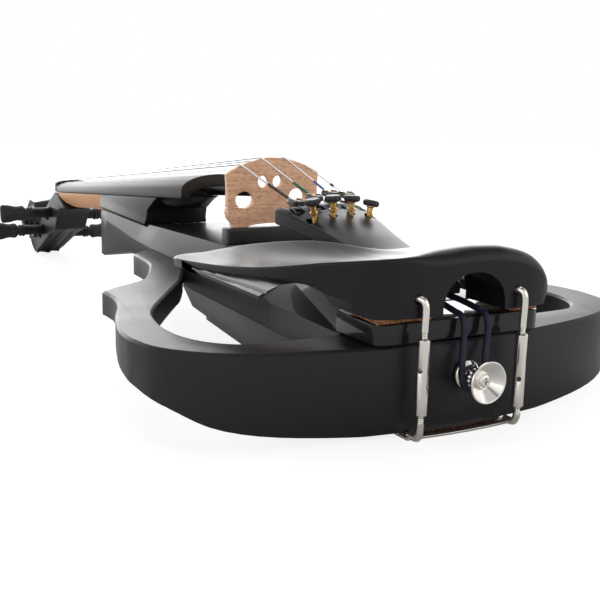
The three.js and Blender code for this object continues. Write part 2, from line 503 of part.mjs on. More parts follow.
function fingerboard() {
  const ring = (y) => {
    const half = along(y, playing.start, playing.end, playing.half);
    const low = boardLow(y);
    const side = low + along(y, playing.start, playing.end, playing.side);
    const crown = along(y, playing.start, playing.end, playing.crown);
    const arc = ellipse(0, side, half, crown, 13, 0, Math.PI);
    return ringAtY(y, [[half, low], ...arc, [-half, low]]);
  };
  const solid = loft([playing.start, (playing.start + playing.end) / 2, playing.end].map(ring));
  const arch = (y, scale) => ringAtY(y, [[playing.hollow[0] * scale, boardLow(y) - OVERRUN],
    ...ellipse(0, boardLow(y), playing.hollow[0] * scale, playing.hollow[1] * scale, 11, 0, Math.PI),
    [-playing.hollow[0] * scale, boardLow(y) - OVERRUN]]);
  return cut(solid, loft(hollowAt.map((y, i) => arch(y, hollowShares[i]))));
}

function neckShaft() {
  const ring = (y) => {
    const half = along(y, neck.start, neck.end, neck.half);
    const depth = along(y, neck.start, neck.end, neck.depth);
    const top = boardLow(y) - SEAT;
    return ringAtY(y, ellipse(0, top, half, depth, neck.sides, -Math.PI, 0));
  };
  const shaft = loft([neck.start, (neck.start + neck.end) / 2, neck.end].map(ring));
  const low = neck.chinZ - neck.depth[0] - neck.depth[1];
  const chin = [[neck.chinFoot, low], [neck.chinFoot, neck.chinZ], [playing.end, boardLow(playing.end) - SEAT],
    [neck.end + OVERRUN, boardLow(playing.end) + OVERRUN], [neck.end + OVERRUN, low]];
  return cut(shaft, prism(chin, 'x', -wide, wide));
}

function nutPiece() {
  const side = nut.low + nut.side;
  const outline = [[nut.half, nut.low + SEAT], ...ellipse(0, side, nut.half, nut.crown, 11, 0, Math.PI),
    [-nut.half, nut.low + SEAT]];
  const body = prism(outline, 'y', nut.start, nut.end, nut.edge);
  const slots = names.map((name) => {
    const { radius, nutX } = strings[name];
    const z = nutTop(nutX) + radius;
    return rod(V(nutX, nut.start - OVERRUN, z), V(nutX, nut.end + OVERRUN, z), radius + SEAT, 10);
  });
  return cut(body, ...slots);
}

const nutTop = (x) => nut.low + nut.side + nut.crown * Math.sqrt(1 - (x / nut.half) ** 2) - nut.slot;

// Head: pegbox with an open slot, and the carved volute beyond it
function headPiece() {
  const cheek = prism(headProfile, 'x', -head.half[0], head.half[0], head.edge);
  const taper = [[neck.chinFoot - OVERRUN, head.chinHalf], [playing.end, head.half[0]], [scroll.y, head.half[1]]]
    .map(([y, x]) => [x, y]);
  const trough = common(cheek, prism([...taper, ...mirrored(taper)], 'z', -wide, wide));
  const slot = prism(pegbox, 'x', -head.half[0] + head.wall, head.half[0] - head.wall);
  const bores = names.map((name) => rod(V(-frame.top, pegs[name].y, pegs[name].z),
    V(frame.top, pegs[name].y, pegs[name].z), peg.shaft + SEAT, 16));
  return cut(join(trough, volute()), slot, ...bores);
}

// The volute steps sideways as it winds in, so each inner turn stands proud of the one outside it
function volute() {
  const radiusAt = (angle) => scroll.outer * (scroll.inner / scroll.outer) ** (angle / (2 * Math.PI * scroll.turns));
  const turn = (begin, half) => {
    const spiral = Array.from({ length: scroll.steps + 1 }, (_, i) => {
      const angle = begin + (2 * Math.PI * i) / scroll.steps;
      const r = radiusAt(angle);
      const at = rad(scroll.startDeg) + angle;
      return [scroll.y + r * Math.cos(at), scroll.z + r * Math.sin(at)];
    });
    return prism(spiral, 'x', -half, half, scroll.bevel);
  };
  const turns = turnHalves.slice(0, -1).map((half, i) => turn(i * scroll.advanceShare * 2 * Math.PI, half));
  const eyeHalf = turnHalves[turnHalves.length - 1];
  const eye = rod(V(-eyeHalf, scroll.y, scroll.z), V(eyeHalf, scroll.y, scroll.z), scroll.eye, 16);
  return join(...turns, eye);
}

const headHalf = (y) => along(y, playing.end, scroll.y, head.half);

function tuningPeg(name) {
  const { y, z, lane } = pegs[name];
  const side = Math.sign(lane);
  const tip = pegTip.map(([r, past]) => [r, -headHalf(y) - past]);
  const profile = [...tip, ...pegCollar, [0, pegCollar[pegCollar.length - 1][1]]];
  const c = Math.cos(rad(pegLeanDeg[name]));
  const n = Math.sin(rad(pegLeanDeg[name]));
  const blade = loft(grip.map(([x, wideHalf, thin]) => ellipse(0, 0, wideHalf, thin, peg.gripSides)
    .map(([u, v]) => V(side * x, y + u * c - v * n, z + u * n + v * c))));
  return join(turned(profile, V(0, y, z), V(side, 0, 0), peg.sides), blade);
}

// The least distance between the surfaces of a winding's neighbouring turns, measured on its points
function leastGap(points, radius, perTurn) {
  let least = Infinity;
  points.forEach((p, i) => {
    points.slice(i + Math.round(perTurn / 2)).forEach((q) => {
      least = Math.min(least, p.distanceTo(q) - 2 * radius);
    });
  });
  return least;
}

function stringPiece(name) {
  const { radius, nutX, bridgeX, notchZ, endX, endY, endZ } = strings[name];
  const { y: pegY, z: pegZ, lane } = pegs[name];
  const side = Math.sign(lane);
  const wrap = peg.shaft + radius + SEAT;
  const onNut = V(nutX, nut.end + SEAT, nutTop(nutX) + radius + SEAT);
  const stop = V(bridgeX, bridge.y, notchZ + radius + SEAT * 2);
  const after = V(endX, endY, endZ);
  const toNut = Math.atan2(onNut.z - pegZ, onNut.y - pegY);
  const touch = toNut - Math.acos(wrap / Math.hypot(onNut.y - pegY, onNut.z - pegZ));
  const coil = Array.from({ length: Math.round(stringEnd.turns * stringEnd.steps) + 1 }, (_, k) => {
    const angle = touch - (2 * Math.PI * k) / stringEnd.steps;
    const x = lane + (side * k * (2 * radius + stringEnd.turnGap)) / stringEnd.steps;
    return V(x, pegY + wrap * Math.cos(angle), pegZ + wrap * Math.sin(angle));
  });
  console.log(`string_${name}: ${leastGap(coil, radius, stringEnd.steps).toFixed(2)} mm between its turns`);
  const behindNut = onNut.clone().lerp(coil[0], bendShares.pastNut);
  const beforeNut = onNut.clone().lerp(stop, bendShares.beforeNut);
  const bends = [stop.clone().lerp(onNut, bendShares.beforeBridge), stop,
    stop.clone().lerp(after, bendShares.pastBridge)];
  const line = sweep([...coil.reverse(), behindNut, beforeNut, ...bends, after], radius, stringEnd.sides);
  const ball = new THREE.SphereGeometry(stringEnd.ball, 8, 6).translate(endX, endY, endZ);
  return join(line, ball);
}

function bridgePiece() {
  const arch = ellipse(0, bridge.footZ, bridge.archHalf, bridge.archZ - bridge.footZ, 9, 0, Math.PI);
  const near = bridge.y - bridge.foot / 2;
  const far = bridge.y + bridge.foot / 2;
  const blank = prism([...bridgeEdge].reverse(), 'y', near, far, bridge.bevel);
  const wedgeShape = [[near, bridge.footZ - OVERRUN], [far, bridge.footZ - OVERRUN],
    [bridge.y + bridge.top / 2, bridge.topZ], [bridge.y - bridge.top / 2, bridge.topZ]];
  const body = common(blank, prism(wedgeShape, 'x', -frame.top, frame.top));
  const through = (outline) => prism(outline, 'y', bridge.y - frame.top, bridge.y + frame.top);
  const holes = bridgeHoles.map(([x, z, rx, rz]) => through(ellipse(x, z, rx, rz, 18)));
  const slits = [-1, 1].map((side) => box(Math.min(side * bridgeSlit.end, side * frame.top),
    Math.max(side * bridgeSlit.end, side * frame.top), near - OVERRUN, far + OVERRUN,
    bridgeSlit.z, bridgeSlit.z + bridgeSlit.height));
  const notches = names.map((name) => {
    const { radius, bridgeX, notchZ } = strings[name];
    const z = notchZ + radius + SEAT * 2;
    return rod(V(bridgeX, near - OVERRUN, z), V(bridgeX, far + OVERRUN, z), radius + SEAT, 10);
  });
  const footGap = [...arch, [-bridge.archHalf, bridge.footZ - OVERRUN], [bridge.archHalf, bridge.footZ - OVERRUN]];
  return cut(body, through(footGap), ...holes, ...slits, ...notches);
}

function pickupBar() {
  const section = [[-pickup.half, pickup.low + SEAT], [pickup.half, pickup.low + SEAT], [pickup.half, pickup.high],
    [-pickup.half, pickup.high]];
  return prism(section, 'y', pickup.front, pickup.back, pickup.edge);
}

// Tailpiece: a crowned shell, hollow below, with a slot and a bore for each tuner
function tailpiece() {
  const outer = loft(tailStations.map(([y, half, low, side, crest]) => ringAtY(y, [[half, low],
    ...ellipse(0, side, half, crest - side, 13, 0, Math.PI), [-half, low]])));
  const inner = loft(tailStations.slice(2).map(([y, half, low, side, crest], i, rows) => {
    const bay = half - tailShell.inset;
    const foot = Math.max(side - tailShell.drop, low);
    const vault = ellipse(0, foot, bay, crest - side - tailShell.skin, 11, 0, Math.PI);
    return ringAtY(i === rows.length - 1 ? y - tailShell.inset : y,
      [[bay, low - OVERRUN], ...vault, [-bay, low - OVERRUN]]);
  }));
  const screws = names.map((name) => rod(tunerPoint(name, -tuner.length - tuner.boreRun),
    tunerPoint(name, OVERRUN), tuner.screw + SEAT, 12));
  const slots = names.map(leverSlot);
  const pins = names.map((name) => {
    const { endX } = strings[name];
    const { pivotZ } = tuners[name];
    return rod(V(endX - lever.reach - SEAT, lever.pivotY, pivotZ), V(endX + lever.reach + SEAT, lever.pivotY, pivotZ),
      lever.pin + SEAT, 10);
  });
  const gutHoles = tailShell.gutX.map((x) => rod(V(x, tailShell.gutY, tailShell.low),
    V(x, tailShell.gutY, tailShell.high), tailShell.gutHole + SEAT, 12));
  return cut(outer, inner, ...screws, ...slots, ...pins, ...gutHoles);
}

const tunerAxis = (name) => V(Math.sin(rad(tuners[name].leanDeg)), 0, Math.cos(rad(tuners[name].leanDeg)));
const tunerPoint = (name, t) => V(tuners[name].x, tuners[name].y, tuners[name].z).addScaledVector(tunerAxis(name), t);

function leverSlot(name) {
  const left = strings[name].endX - tuner.slotHalf;
  const right = strings[name].endX + tuner.slotHalf;
  const end = tailStations[tailStations.length - 1][0] + OVERRUN;
  const toeEnd = tuners[name].y - lever.hub - SEAT;
  return join(box(left, right, lever.pivotY - lever.slotFront, end, lever.slotLow, tailShell.high),
    box(left, right, toeEnd, lever.pivotY, lever.slotLow, lever.slotStep));
}

function tunerScrew(name) {
  const { x, y, z } = tuners[name];
  const direction = tunerAxis(name);
  const shaft = turned([[0, -tuner.length], [tuner.screw - tuner.point, -tuner.length],
    [tuner.screw, -tuner.length + tuner.point], [tuner.screw, -SEAT - tuner.washerThick],
    [tuner.washer, -tuner.washerThick], [tuner.washer, 0], [0, 0]], V(x, y, z), direction, 12);
  const rim = Array.from({ length: tuner.knurls * 2 }, (_, i) => {
    const angle = (Math.PI * i) / tuner.knurls;
    const r = tuner.knob - (i % 2 ? tuner.knurlDepth : 0);
    return [r * Math.cos(angle), r * Math.sin(angle)];
  });
  const turn = new THREE.Quaternion().setFromUnitVectors(V(0, 0, 1), direction);
  const disc = prism(rim, 'z', -tuner.knobSink, tuner.knobHeight, tuner.knobEdge).applyQuaternion(turn)
    .translate(x, y, z);
  return { shaft: cut(shaft, disc), disc };
}

// Lever: a toe under the screw's tip, a pin in the shell and a hook under the string's ball.
// The clearance at toe and hook is the travel that one turn of the screw gives
function tunerLever(name) {
  const { endX: x, endY: hookY, endZ } = strings[name];
  const { y: screwY, z: knobZ, pivotZ } = tuners[name];
  const hookZ = endZ - stringEnd.ball - lever.travel;
  const toeZ = knobZ - tuner.length - lever.travel;
  const outline = [[screwY - lever.toe, toeZ], [screwY + lever.toe, toeZ],
    [lever.pivotY - lever.hub, pivotZ - lever.toe], [lever.pivotY - lever.hub, pivotZ + lever.crest],
    [lever.pivotY, pivotZ + lever.hub], [hookY - lever.hub, hookZ],
    [hookY + lever.hub, hookZ], [hookY + lever.hub + lever.lip, hookZ - lever.arm],
    [lever.pivotY + lever.hub, pivotZ - lever.hub], [screwY + lever.toe + lever.crest, toeZ - lever.toe],
    [screwY - lever.toe, toeZ - lever.toe]];
  const arm = prism(outline, 'x', x - lever.half, x + lever.half, lever.edge);
  const pin = rod(V(x - lever.reach, lever.pivotY, pivotZ), V(x + lever.reach, lever.pivotY, pivotZ), lever.pin, 10);
  return join(arm, pin);
}

// Chinrest: a lofted cup and bar on a foot, tunnelled for the tailpiece
function chinrest() {
  const shell = loft(restStations.map(([x, nearY, nearZ, farY, farZ, dish, low]) => {
    const width = farY - nearY;
    const rim = Math.min(rest.rimIn, width * rimShares.most);
    const dished = (share) => lerp(nearZ, farZ, share) - dish * Math.sin(Math.PI * share);
    const top = dishShares.map((share) => [nearY + rim + (width - 2 * rim) * share, dished(share) - rest.skin]);
    const bar = x > rest.barStart;
    const under = Math.min(low, nearZ - rest.lip);
    const deep = (share) => (bar ? under : Math.max(dished(share) - rest.shell, rest.floor));
    const at = (share) => lerp(nearY, farY, share);
    return ringAtX(x, [[nearY, under], [nearY, nearZ - rest.rimDrop * rimShares.nearDrop],
      [nearY + rim * rimShares.round, nearZ - rest.rimDrop * rimShares.roundDrop], [nearY + rim, nearZ], ...top,
      [farY - rim, farZ], [farY - rim * rimShares.round, farZ - rest.rimDrop * rimShares.roundDrop],
      [farY, farZ - rest.rimDrop * rimShares.farDrop],
      [farY - rim * rimShares.farTuck, bar ? under : farZ - rest.farWall],
      [at(rimShares.underFar), deep(rimShares.underFar)], [at(rimShares.underNear), deep(rimShares.underNear)],
      [nearY + Math.min(rest.toe, width * rimShares.toe), Math.min(under, deep(rimShares.toeDeep))]]);
  }));
  const plan = [...restStations.map(([x, nearY]) => [x, nearY]), ...restPlan];
  const footBlank = prism(restFoot, 'y', archRun[0][0], rest.footBack);
  const foot = common(footBlank, prism(plan, 'z', 0, wide));
  const sillZ = restArch.sill + restArch.spring;
  const centre = (restArch.left + restArch.right) / 2;
  const tunnel = ([y, top]) => ringAtY(y, [[restArch.left, restArch.sill - OVERRUN], [restArch.left, sillZ],
    ...ellipse(centre, sillZ, restArch.right - centre, top - sillZ, 13, 0, Math.PI).reverse().slice(1, -1),
    [restArch.right, sillZ], [restArch.right, restArch.sill - OVERRUN]]);
  const hookHoles = Object.values(legs).map(({ x }) => {
    const [mouth, end] = hookPath(x).slice(-2);
    const run = end.clone().sub(mouth).normalize();
    return rod(mouth.clone().addScaledVector(run, -OVERRUN * 2), end.clone().addScaledVector(run, SEAT * 2),
      clamp.rod + SEAT, 12);
  });
  return cut(join(shell, foot), loft(archRun.map(tunnel)), ...hookHoles);
}

function corkPad([left, right]) {
  const section = [[cork.front, cork.low], [cork.back, cork.backLow], [cork.back, cork.high], [cork.front, cork.high]];
  return prism(section, 'x', left, right, cork.edge);
}

// The upper hook bends in from its rod, and its tip runs into a hole in the chinrest's wall
const hookPath = (x) => hookBend.map(([across, y, z]) => V(x + across, clamp.y + y, z));

function clampUpper({ x, high }) {
  const straight = V(x, clamp.y, high + hookRise);
  return sweep([V(x, clamp.y, high + SEAT), ...smooth([straight, ...hookPath(x)], 9)], clamp.rod, clamp.rodSides);
}

function clampBarrel({ x, low, high }) {
  const half = (high - low) / 2;
  const middle = (high + low) / 2;
  const c = clamp.chamfer;
  const across = clamp.barrel + OVERRUN;
  const body = turned([[0, -half], [clamp.barrel - c, -half], [clamp.barrel, -half + c], [clamp.barrel, half - c],
    [clamp.barrel - c, half], [0, half]], V(x, clamp.y, middle), V(0, 0, 1), clamp.barrelSides);
  return cut(body, rod(V(x - across, clamp.y, middle), V(x + across, clamp.y, middle), clamp.hole, 10),
    rod(V(x, clamp.y - across, middle), V(x, clamp.y + across, middle), clamp.hole, 10));
}

// Plan of a strip under the tail, its front edge bowed as the tail wall is
function bowed({ half, sag, side, back }) {
  const crest = new THREE.Vector2(0, 2 * sag - side);
  const front = new THREE.QuadraticBezierCurve(new THREE.Vector2(-half, side), crest, new THREE.Vector2(half, side))
    .getPoints(8).map((p) => [p.x, p.y]);
  return [...front, [half, back], [-half, back]];
}

// Both feet and the plate that joins them under the tail are one bent and brazed piece
function clampFoot() {
  const rods = Object.values(legs).map(({ x, low }) => {
    const bend = [V(x, clamp.y, low - footDrop), ...footBend.map(([y, z]) => V(x, clamp.y + y, z))];
    return sweep([V(x, clamp.y, low - SEAT), ...smooth(bend, 8)], clamp.rod, clamp.rodSides);
  });
  return join(prism(bowed(footPlate), 'z', footPlate.low, footPlate.high, footPlate.edge), ...rods);
}

function endButton() {
  return turned([...buttonSection, buttonSection[0]], V(button.x, 0, button.z), V(0, -1, 0), button.sides);
}

function buttonScrewPiece() {
  const body = turned(screwSection, V(button.x, buttonScrew.front, button.z), V(0, 1, 0), buttonScrew.sides);
  const arm = (dx, dz) => box(button.x - dx, button.x + dx, buttonScrew.front - OVERRUN,
    buttonScrew.front + buttonScrew.slotDepth, button.z - dz, button.z + dz);
  return cut(body, arm(buttonScrew.slotArm, buttonScrew.slot), arm(buttonScrew.slot, buttonScrew.slotArm));
}

// Tail gut: one doubled cord from the tailpiece, over the cap and round the button's neck
function tailGut() {
  const ring = button.neck + gut.radius + SEAT + gut.ring;
  const strand = (side) => {
    const holeX = tailShell.gutX[side];
    const overX = gutSpread[side];
    const outX = button.x + (side ? ring : -ring);
    return [...gutRun.map(([y, z], i) => V(lerp(holeX, overX, gutShares[i]), y, z)),
      V(lerp(overX, outX, gut.dropShare), gut.dropY, gut.dropZ), V(outX, gut.loopY, button.z)];
  };
  const loop = gutLoopDeg.map((deg) => V(button.x + ring * Math.cos(rad(deg)), gut.loopY,
    button.z + ring * Math.sin(rad(deg))));
  return sweep(smooth([...strand(0), ...loop, ...strand(1).reverse()], gut.steps), gut.radius, gut.sides);
}

// Assembly
const pieces = [];
const add = (name, geometry, material) => pieces.push({ name, geometry, material });

add('body_frame', bodyFrame(), satin());
add('centre_block', centreBlock(), gloss());
add('electronics_housing', electronicsHousing(), gloss());
add('battery_door', batteryDoor(), plastic());
add('battery', batteryCell(), cell());
add('circuit_board', circuitBoard(), fibre());
add('output_jack', outputJack(0), nickel());
add('headphone_jack', outputJack(1), nickel());
add('volume_potentiometer', potentiometer(knob.y[0]), nickel());
add('tone_potentiometer', potentiometer(knob.y[1]), nickel());
add('volume_knob', controlKnob(knob.y[0]), plastic());
add('tone_knob', controlKnob(knob.y[1]), plastic());
add('neck_heel', neckHeel(), satin());
add('neck', neckShaft(), mapleWood());
add('fingerboard', fingerboard(), ebony());
add('nut', nutPiece(), ebony());
add('head', headPiece(), satin());
names.forEach((name) => add(`peg_${name}`, tuningPeg(name), ebony()));
names.forEach((name) => add(`string_${name}`, stringPiece(name), steel()));
add('bridge', bridgePiece(), mapleWood());
add('pickup_bar', pickupBar(), plastic());
add('tailpiece', tailpiece(), ebony());
names.forEach((name) => {
  const { shaft, disc } = tunerScrew(name);
  add(`tuner_screw_${name}`, shaft, brass());
  add(`tuner_knob_${name}`, disc, plastic());
  add(`tuner_lever_${name}`, tunerLever(name), plastic());
});
add('tail_gut', tailGut(), cordBlue());
add('end_button', endButton(), nickel());
add('button_screw', buttonScrewPiece(), nickel());
add('chinrest', chinrest(), satin());
add('cork_pad_bass', corkPad(cork.left), corkStuff());
add('cork_pad_treble', corkPad(cork.right), corkStuff());
add('cork_pad_tail', prism(bowed(tailCork), 'z', tailCork.low, tailCork.high), corkStuff());
Object.entries(legs).forEach(([name, leg]) => {
  add(`clamp_hook_${name}`, clampUpper(leg), nickel());
  add(`clamp_barrel_${name}`, clampBarrel(leg), nickel());
});
add('clamp_foot', clampFoot(), nickel());

// Tip the instrument to the angle at which it lies, and set it on the floor
const tip = new THREE.Matrix4().makeRotationX(rad(LIE_DEG));
pieces.forEach(({ geometry }) => geometry.applyMatrix4(tip));
const reach = new THREE.Box3();
pieces.forEach(({ geometry }) => {
  geometry.computeBoundingBox();
  reach.union(geometry.boundingBox);
});
const middle = reach.getCenter(new THREE.Vector3());
const violin = new THREE.Group();
violin.name = 'electric_violin';
pieces.forEach(({ name, geometry, material }) => {
  geometry.translate(-middle.x, -middle.y, -reach.min.z);
  geometry.computeVertexNormals();
  const mesh = new THREE.Mesh(geometry, material);
  mesh.name = name;
  violin.add(mesh);
});

export default violin;
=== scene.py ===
"""An electric violin with an open frame body, lying on its back: its finishes and fine forms."""

import math

import bmesh
import bpy
from mathutils import Matrix, Vector


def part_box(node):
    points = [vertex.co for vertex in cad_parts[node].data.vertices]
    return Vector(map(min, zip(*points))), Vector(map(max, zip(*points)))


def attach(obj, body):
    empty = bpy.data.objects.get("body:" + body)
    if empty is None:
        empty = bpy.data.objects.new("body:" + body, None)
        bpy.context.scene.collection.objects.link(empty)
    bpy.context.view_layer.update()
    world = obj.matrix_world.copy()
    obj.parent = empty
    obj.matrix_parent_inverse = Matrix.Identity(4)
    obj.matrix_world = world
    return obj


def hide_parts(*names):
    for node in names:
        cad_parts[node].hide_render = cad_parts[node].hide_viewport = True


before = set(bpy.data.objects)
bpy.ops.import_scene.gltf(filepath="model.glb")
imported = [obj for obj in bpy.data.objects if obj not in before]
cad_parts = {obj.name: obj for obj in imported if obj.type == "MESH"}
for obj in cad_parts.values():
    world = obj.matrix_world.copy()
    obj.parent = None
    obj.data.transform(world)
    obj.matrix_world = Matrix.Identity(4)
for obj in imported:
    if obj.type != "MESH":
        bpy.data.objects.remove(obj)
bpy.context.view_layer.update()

MM = 0.001
ROOT = "instrument"

# The instrument is drawn level, in millimetres: X to the treble side, Y from the tail to the scroll, Z up,
# with the tail wall at Y = 0. TIP carries that drawing to where the instrument really lies, in metres
LIE = math.radians(1.9)
PICKUP_MIDDLE = Vector((0, 148.15, 48.75))


def lying():
    low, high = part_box("pickup_bar")
    turn = Matrix.Rotation(LIE, 4, "X") @ Matrix.Scale(MM, 4)
    return Matrix.Translation((low + high) / 2 - turn @ PICKUP_MIDDLE) @ turn


TIP = lying()
UNTIP = TIP.inverted()

# Camera, in the level drawing
CAMERA_AT = Vector((-212.94, -263.44, 112.91))
CAMERA_YAW = math.radians(-29.116)
CAMERA_TILT = math.radians(90 - 11.6735)
CAMERA_ROLL = math.radians(1.234)
CAMERA_FOCUS_PX = 986
CAMERA_REACH = (0.01, 20)
PICTURE_PX = 600
SENSOR = 36


def placed(name, data):
    """A new object in the scene that shows the data."""
    thing = bpy.data.objects.new(name, data)
    bpy.context.scene.collection.objects.link(thing)
    return thing


def place_camera():
    data = bpy.data.cameras.new("camera")
    data.sensor_width = SENSOR
    data.lens = CAMERA_FOCUS_PX / PICTURE_PX * SENSOR
    data.clip_start, data.clip_end = CAMERA_REACH
    camera = placed("camera", data)
    turn = Matrix.Rotation(CAMERA_YAW, 4, "Z") @ Matrix.Rotation(CAMERA_TILT, 4, "X")
    level = Matrix.Rotation(LIE, 4, "X") @ turn @ Matrix.Rotation(CAMERA_ROLL, 4, "Z")
    camera.matrix_world = Matrix.Translation(TIP @ CAMERA_AT) @ level
    bpy.context.scene.camera = camera


place_camera()


def math_node(operation, swapped=False):
    """A method that builds one Math node of a socket and of what stands beside it."""
    def build(self, *others):
        return self.tree.math(operation, *((*others, self) if swapped else (self, *others)))
    return build


class Socket:
    """A node's socket, on which Python's operators build Math nodes."""

    def __init__(self, tree, plug):
        self.tree, self.plug = tree, plug

    __add__ = __radd__ = math_node("ADD")
    __sub__ = math_node("SUBTRACT")
    __rsub__ = math_node("SUBTRACT", True)
    __mul__ = __rmul__ = math_node("MULTIPLY")
    __truediv__ = math_node("DIVIDE")
    __mod__ = math_node("FLOORED_MODULO")
    __pow__ = math_node("POWER")
    __gt__ = math_node("GREATER_THAN")
    __lt__ = math_node("LESS_THAN")
    __abs__ = math_node("ABSOLUTE")
    __floor__ = math_node("FLOOR")
    sine = math_node("SINE")


class Nodes:
    """A node tree being written."""

    def __init__(self, tree):
        self.tree = tree

    def node(self, kind, settings, values, output=0):
        """A node of a kind, its settings made first, then the values or links of its sockets."""
        node = self.tree.nodes.new(kind)
        for name, setting in settings.items():
            if name == "stops":
                self.set_stops(node.color_ramp, setting)
            else:
                setattr(node, name, setting)
        for key, value in values.items() if isinstance(values, dict) else enumerate(values):
            if isinstance(value, Socket):
                self.tree.links.new(value.plug, node.inputs[key])
            else:
                node.inputs[key].default_value = value
        return Socket(self, node.outputs[output])

    @staticmethod
    def set_stops(ramp, stops):
        while len(ramp.elements) < len(stops):
            ramp.elements.new(1)
        for element, (place, colour) in zip(ramp.elements, stops):
            element.position, element.color = place, (*colour, 1)

    def math(self, operation, *values):
        return self.node("ShaderNodeMath", {"operation": operation}, values)

    def split(self, vector):
        return [self.node("ShaderNodeSeparateXYZ", {}, [vector], axis) for axis in "XYZ"]

    def clamped(self, value):
        return self.node("ShaderNodeClamp", {}, [value])

    def step(self, value, low, high, at_low, at_high):
        """A soft step from one level to another as the value goes from low to high."""
        soft = {"interpolation_type": "SMOOTHSTEP"}
        return self.node("ShaderNodeMapRange", soft, [value, low, high, at_low, at_high])


class Finish(Nodes):
    """A material being made: its shader, and the nodes that feed it."""

    def __init__(self, name, settings):
        self.material = bpy.data.materials.new(name)
        self.material.use_nodes = True
        super().__init__(self.material.node_tree)
        self.shader = self.tree.nodes["Principled BSDF"]
        for socket, value in settings.items():
            self.shader.inputs[socket].default_value = value

    def feed(self, socket, value):
        self.tree.links.new(value.plug, self.shader.inputs[socket])

    def millimetres(self, stretch=(1, 1, 1)):
        """The place on the piece in millimetres, or in the longer units that stretch gives."""
        place = self.node("ShaderNodeTexCoord", {}, {}, "Object")
        scale = tuple(1 / MM / s for s in stretch)
        return self.node("ShaderNodeVectorMath", {"operation": "MULTIPLY"}, [place, scale])

    def levelled(self):
        """X, Y and Z of the place in the level drawing, in millimetres."""
        place = self.node("ShaderNodeTexCoord", {}, {}, "Object")
        along = {"operation": "DOT_PRODUCT"}
        rows = [(tuple(row[:3]), row[3]) for row in UNTIP[:3]]
        return [self.node("ShaderNodeVectorMath", along, [place, row], "Value") + rest for row, rest in rows]

    def noise(self, place, scale, detail, roughness=0.5):
        values = {"Vector": place, "Scale": scale, "Detail": detail, "Roughness": roughness}
        return self.node("ShaderNodeTexNoise", {}, values)

    def mix(self, share, *tones):
        a, b = (tone if isinstance(tone, Socket) else (*tone, 1) for tone in tones)
        return self.node("ShaderNodeMix", {"data_type": "RGBA"}, {0: share, 6: a, 7: b}, 2)

    def ramp(self, share, stops):
        return self.node("ShaderNodeValToRGB", {"stops": stops}, [share])

    def made(self, colour, roughness, relief=None, depth_mm=0, strength=1):
        """The finished material: its colour, its roughness and the relief of its surface."""
        self.feed("Base Color", colour)
        self.feed("Roughness", roughness)
        if relief:
            values = {"Strength": strength, "Distance": depth_mm * MM, "Height": relief}
            self.feed("Normal", self.node("ShaderNodeBump", {}, values, "Normal"))
        return self.material


def baked(holder):
    """A plain mesh of what the holder's modifiers make of it. The holder goes."""
    shown = holder.evaluated_get(bpy.context.evaluated_depsgraph_get())
    result = bpy.data.meshes.new_from_object(shown)
    bpy.data.objects.remove(holder)
    return result


class Form(Nodes):
    """A Geometry Nodes tree being made, with a named number for each of its sizes, or its material."""

    def __init__(self, name, *labels):
        super().__init__(bpy.data.node_groups.new(name, "GeometryNodeTree"))
        new = self.tree.interface.new_socket
        new(name="Geometry", in_out="INPUT", socket_type="NodeSocketGeometry")
        self.keys = {}
        for label in labels:
            kind = "NodeSocketMaterial" if label == "Material" else "NodeSocketFloat"
            self.keys[label] = new(name=label, in_out="INPUT", socket_type=kind).identifier
        new(name="Geometry", in_out="OUTPUT", socket_type="NodeSocketGeometry")
        self.inlet = self.tree.nodes.new("NodeGroupInput")

    def __getitem__(self, label):
        return Socket(self, self.inlet.outputs[label])

    def close(self, geometry):
        self.tree.links.new(geometry.plug, self.tree.nodes.new("NodeGroupOutput").inputs[0])
        return self

    def end(self, **moved):
        """Moves the tree's points, realizes what that makes, gives it its material and closes the tree."""
        points = self.node("GeometryNodeSetPosition", {}, {"Geometry": self["Geometry"], **moved})
        whole = self.node("GeometryNodeRealizeInstances", {}, {"Geometry": points})
        dressed = {"Geometry": whole, "Material": self["Material"]}
        return self.close(self.node("GeometryNodeSetMaterial", {}, dressed))

    def on(self, mesh, **values):
        """A plain mesh: what the tree makes of this one with these values."""
        holder = placed("work", mesh)
        modifier = holder.modifiers.new("form", "NODES")
        modifier.node_group = self.tree
        for label, value in values.items():
            modifier[self.keys[label]] = value
        return baked(holder)


# Finishes: tones of the black lacquers, and how the rubbing marks are stretched
INK = (0.0085, 0.0079, 0.0108)
INK_DEEP = (0.006, 0.0056, 0.0078)
SOOT = (0.018, 0.0175, 0.0185)
RUBBED = (0.5, 9, 0.7)


def satin_lacquer():
    """Black lacquer rubbed to a satin: a soft haze, faint rubbing marks and a very fine orange peel."""
    finish = Finish("satin black lacquer", {"IOR": 1.4})
    place = finish.millimetres()
    cloud = finish.noise(place, 0.045, 3)
    marks = finish.noise(finish.millimetres(RUBBED), 1, 3, 0.6)
    return finish.made(finish.mix(cloud, INK, INK_DEEP),
        0.33 + cloud * 0.1 + marks * 0.06, finish.noise(place, 1.7, 2) + marks * 0.25, 0.012, 0.35)


def even_black(name, ior, tones, rough, cloud, peel, bump):
    """Lacquer or plastic: a cloud in its tone and roughness, with a finer peel or that cloud as relief."""
    finish = Finish(name, {"IOR": ior})
    place = finish.millimetres()
    haze = finish.noise(place, *cloud)
    return finish.made(finish.mix(haze, *tones),
        rough[0] + haze * rough[1], finish.noise(place, *peel) if peel else haze, *bump)


# The block's crossed threads: their pitch, their top, and where they begin and end. Where its clear gloss
# ends. How far a face looks up to count as a top
HATCH = 1.25
HATCH_TOP = 31.2
CAP_BACK = 27.3
HATCH_END, HATCH_FADE = 235, 70
GLOSS_END, GLOSS_FADE = 90, 50
UPWARD = 0.25


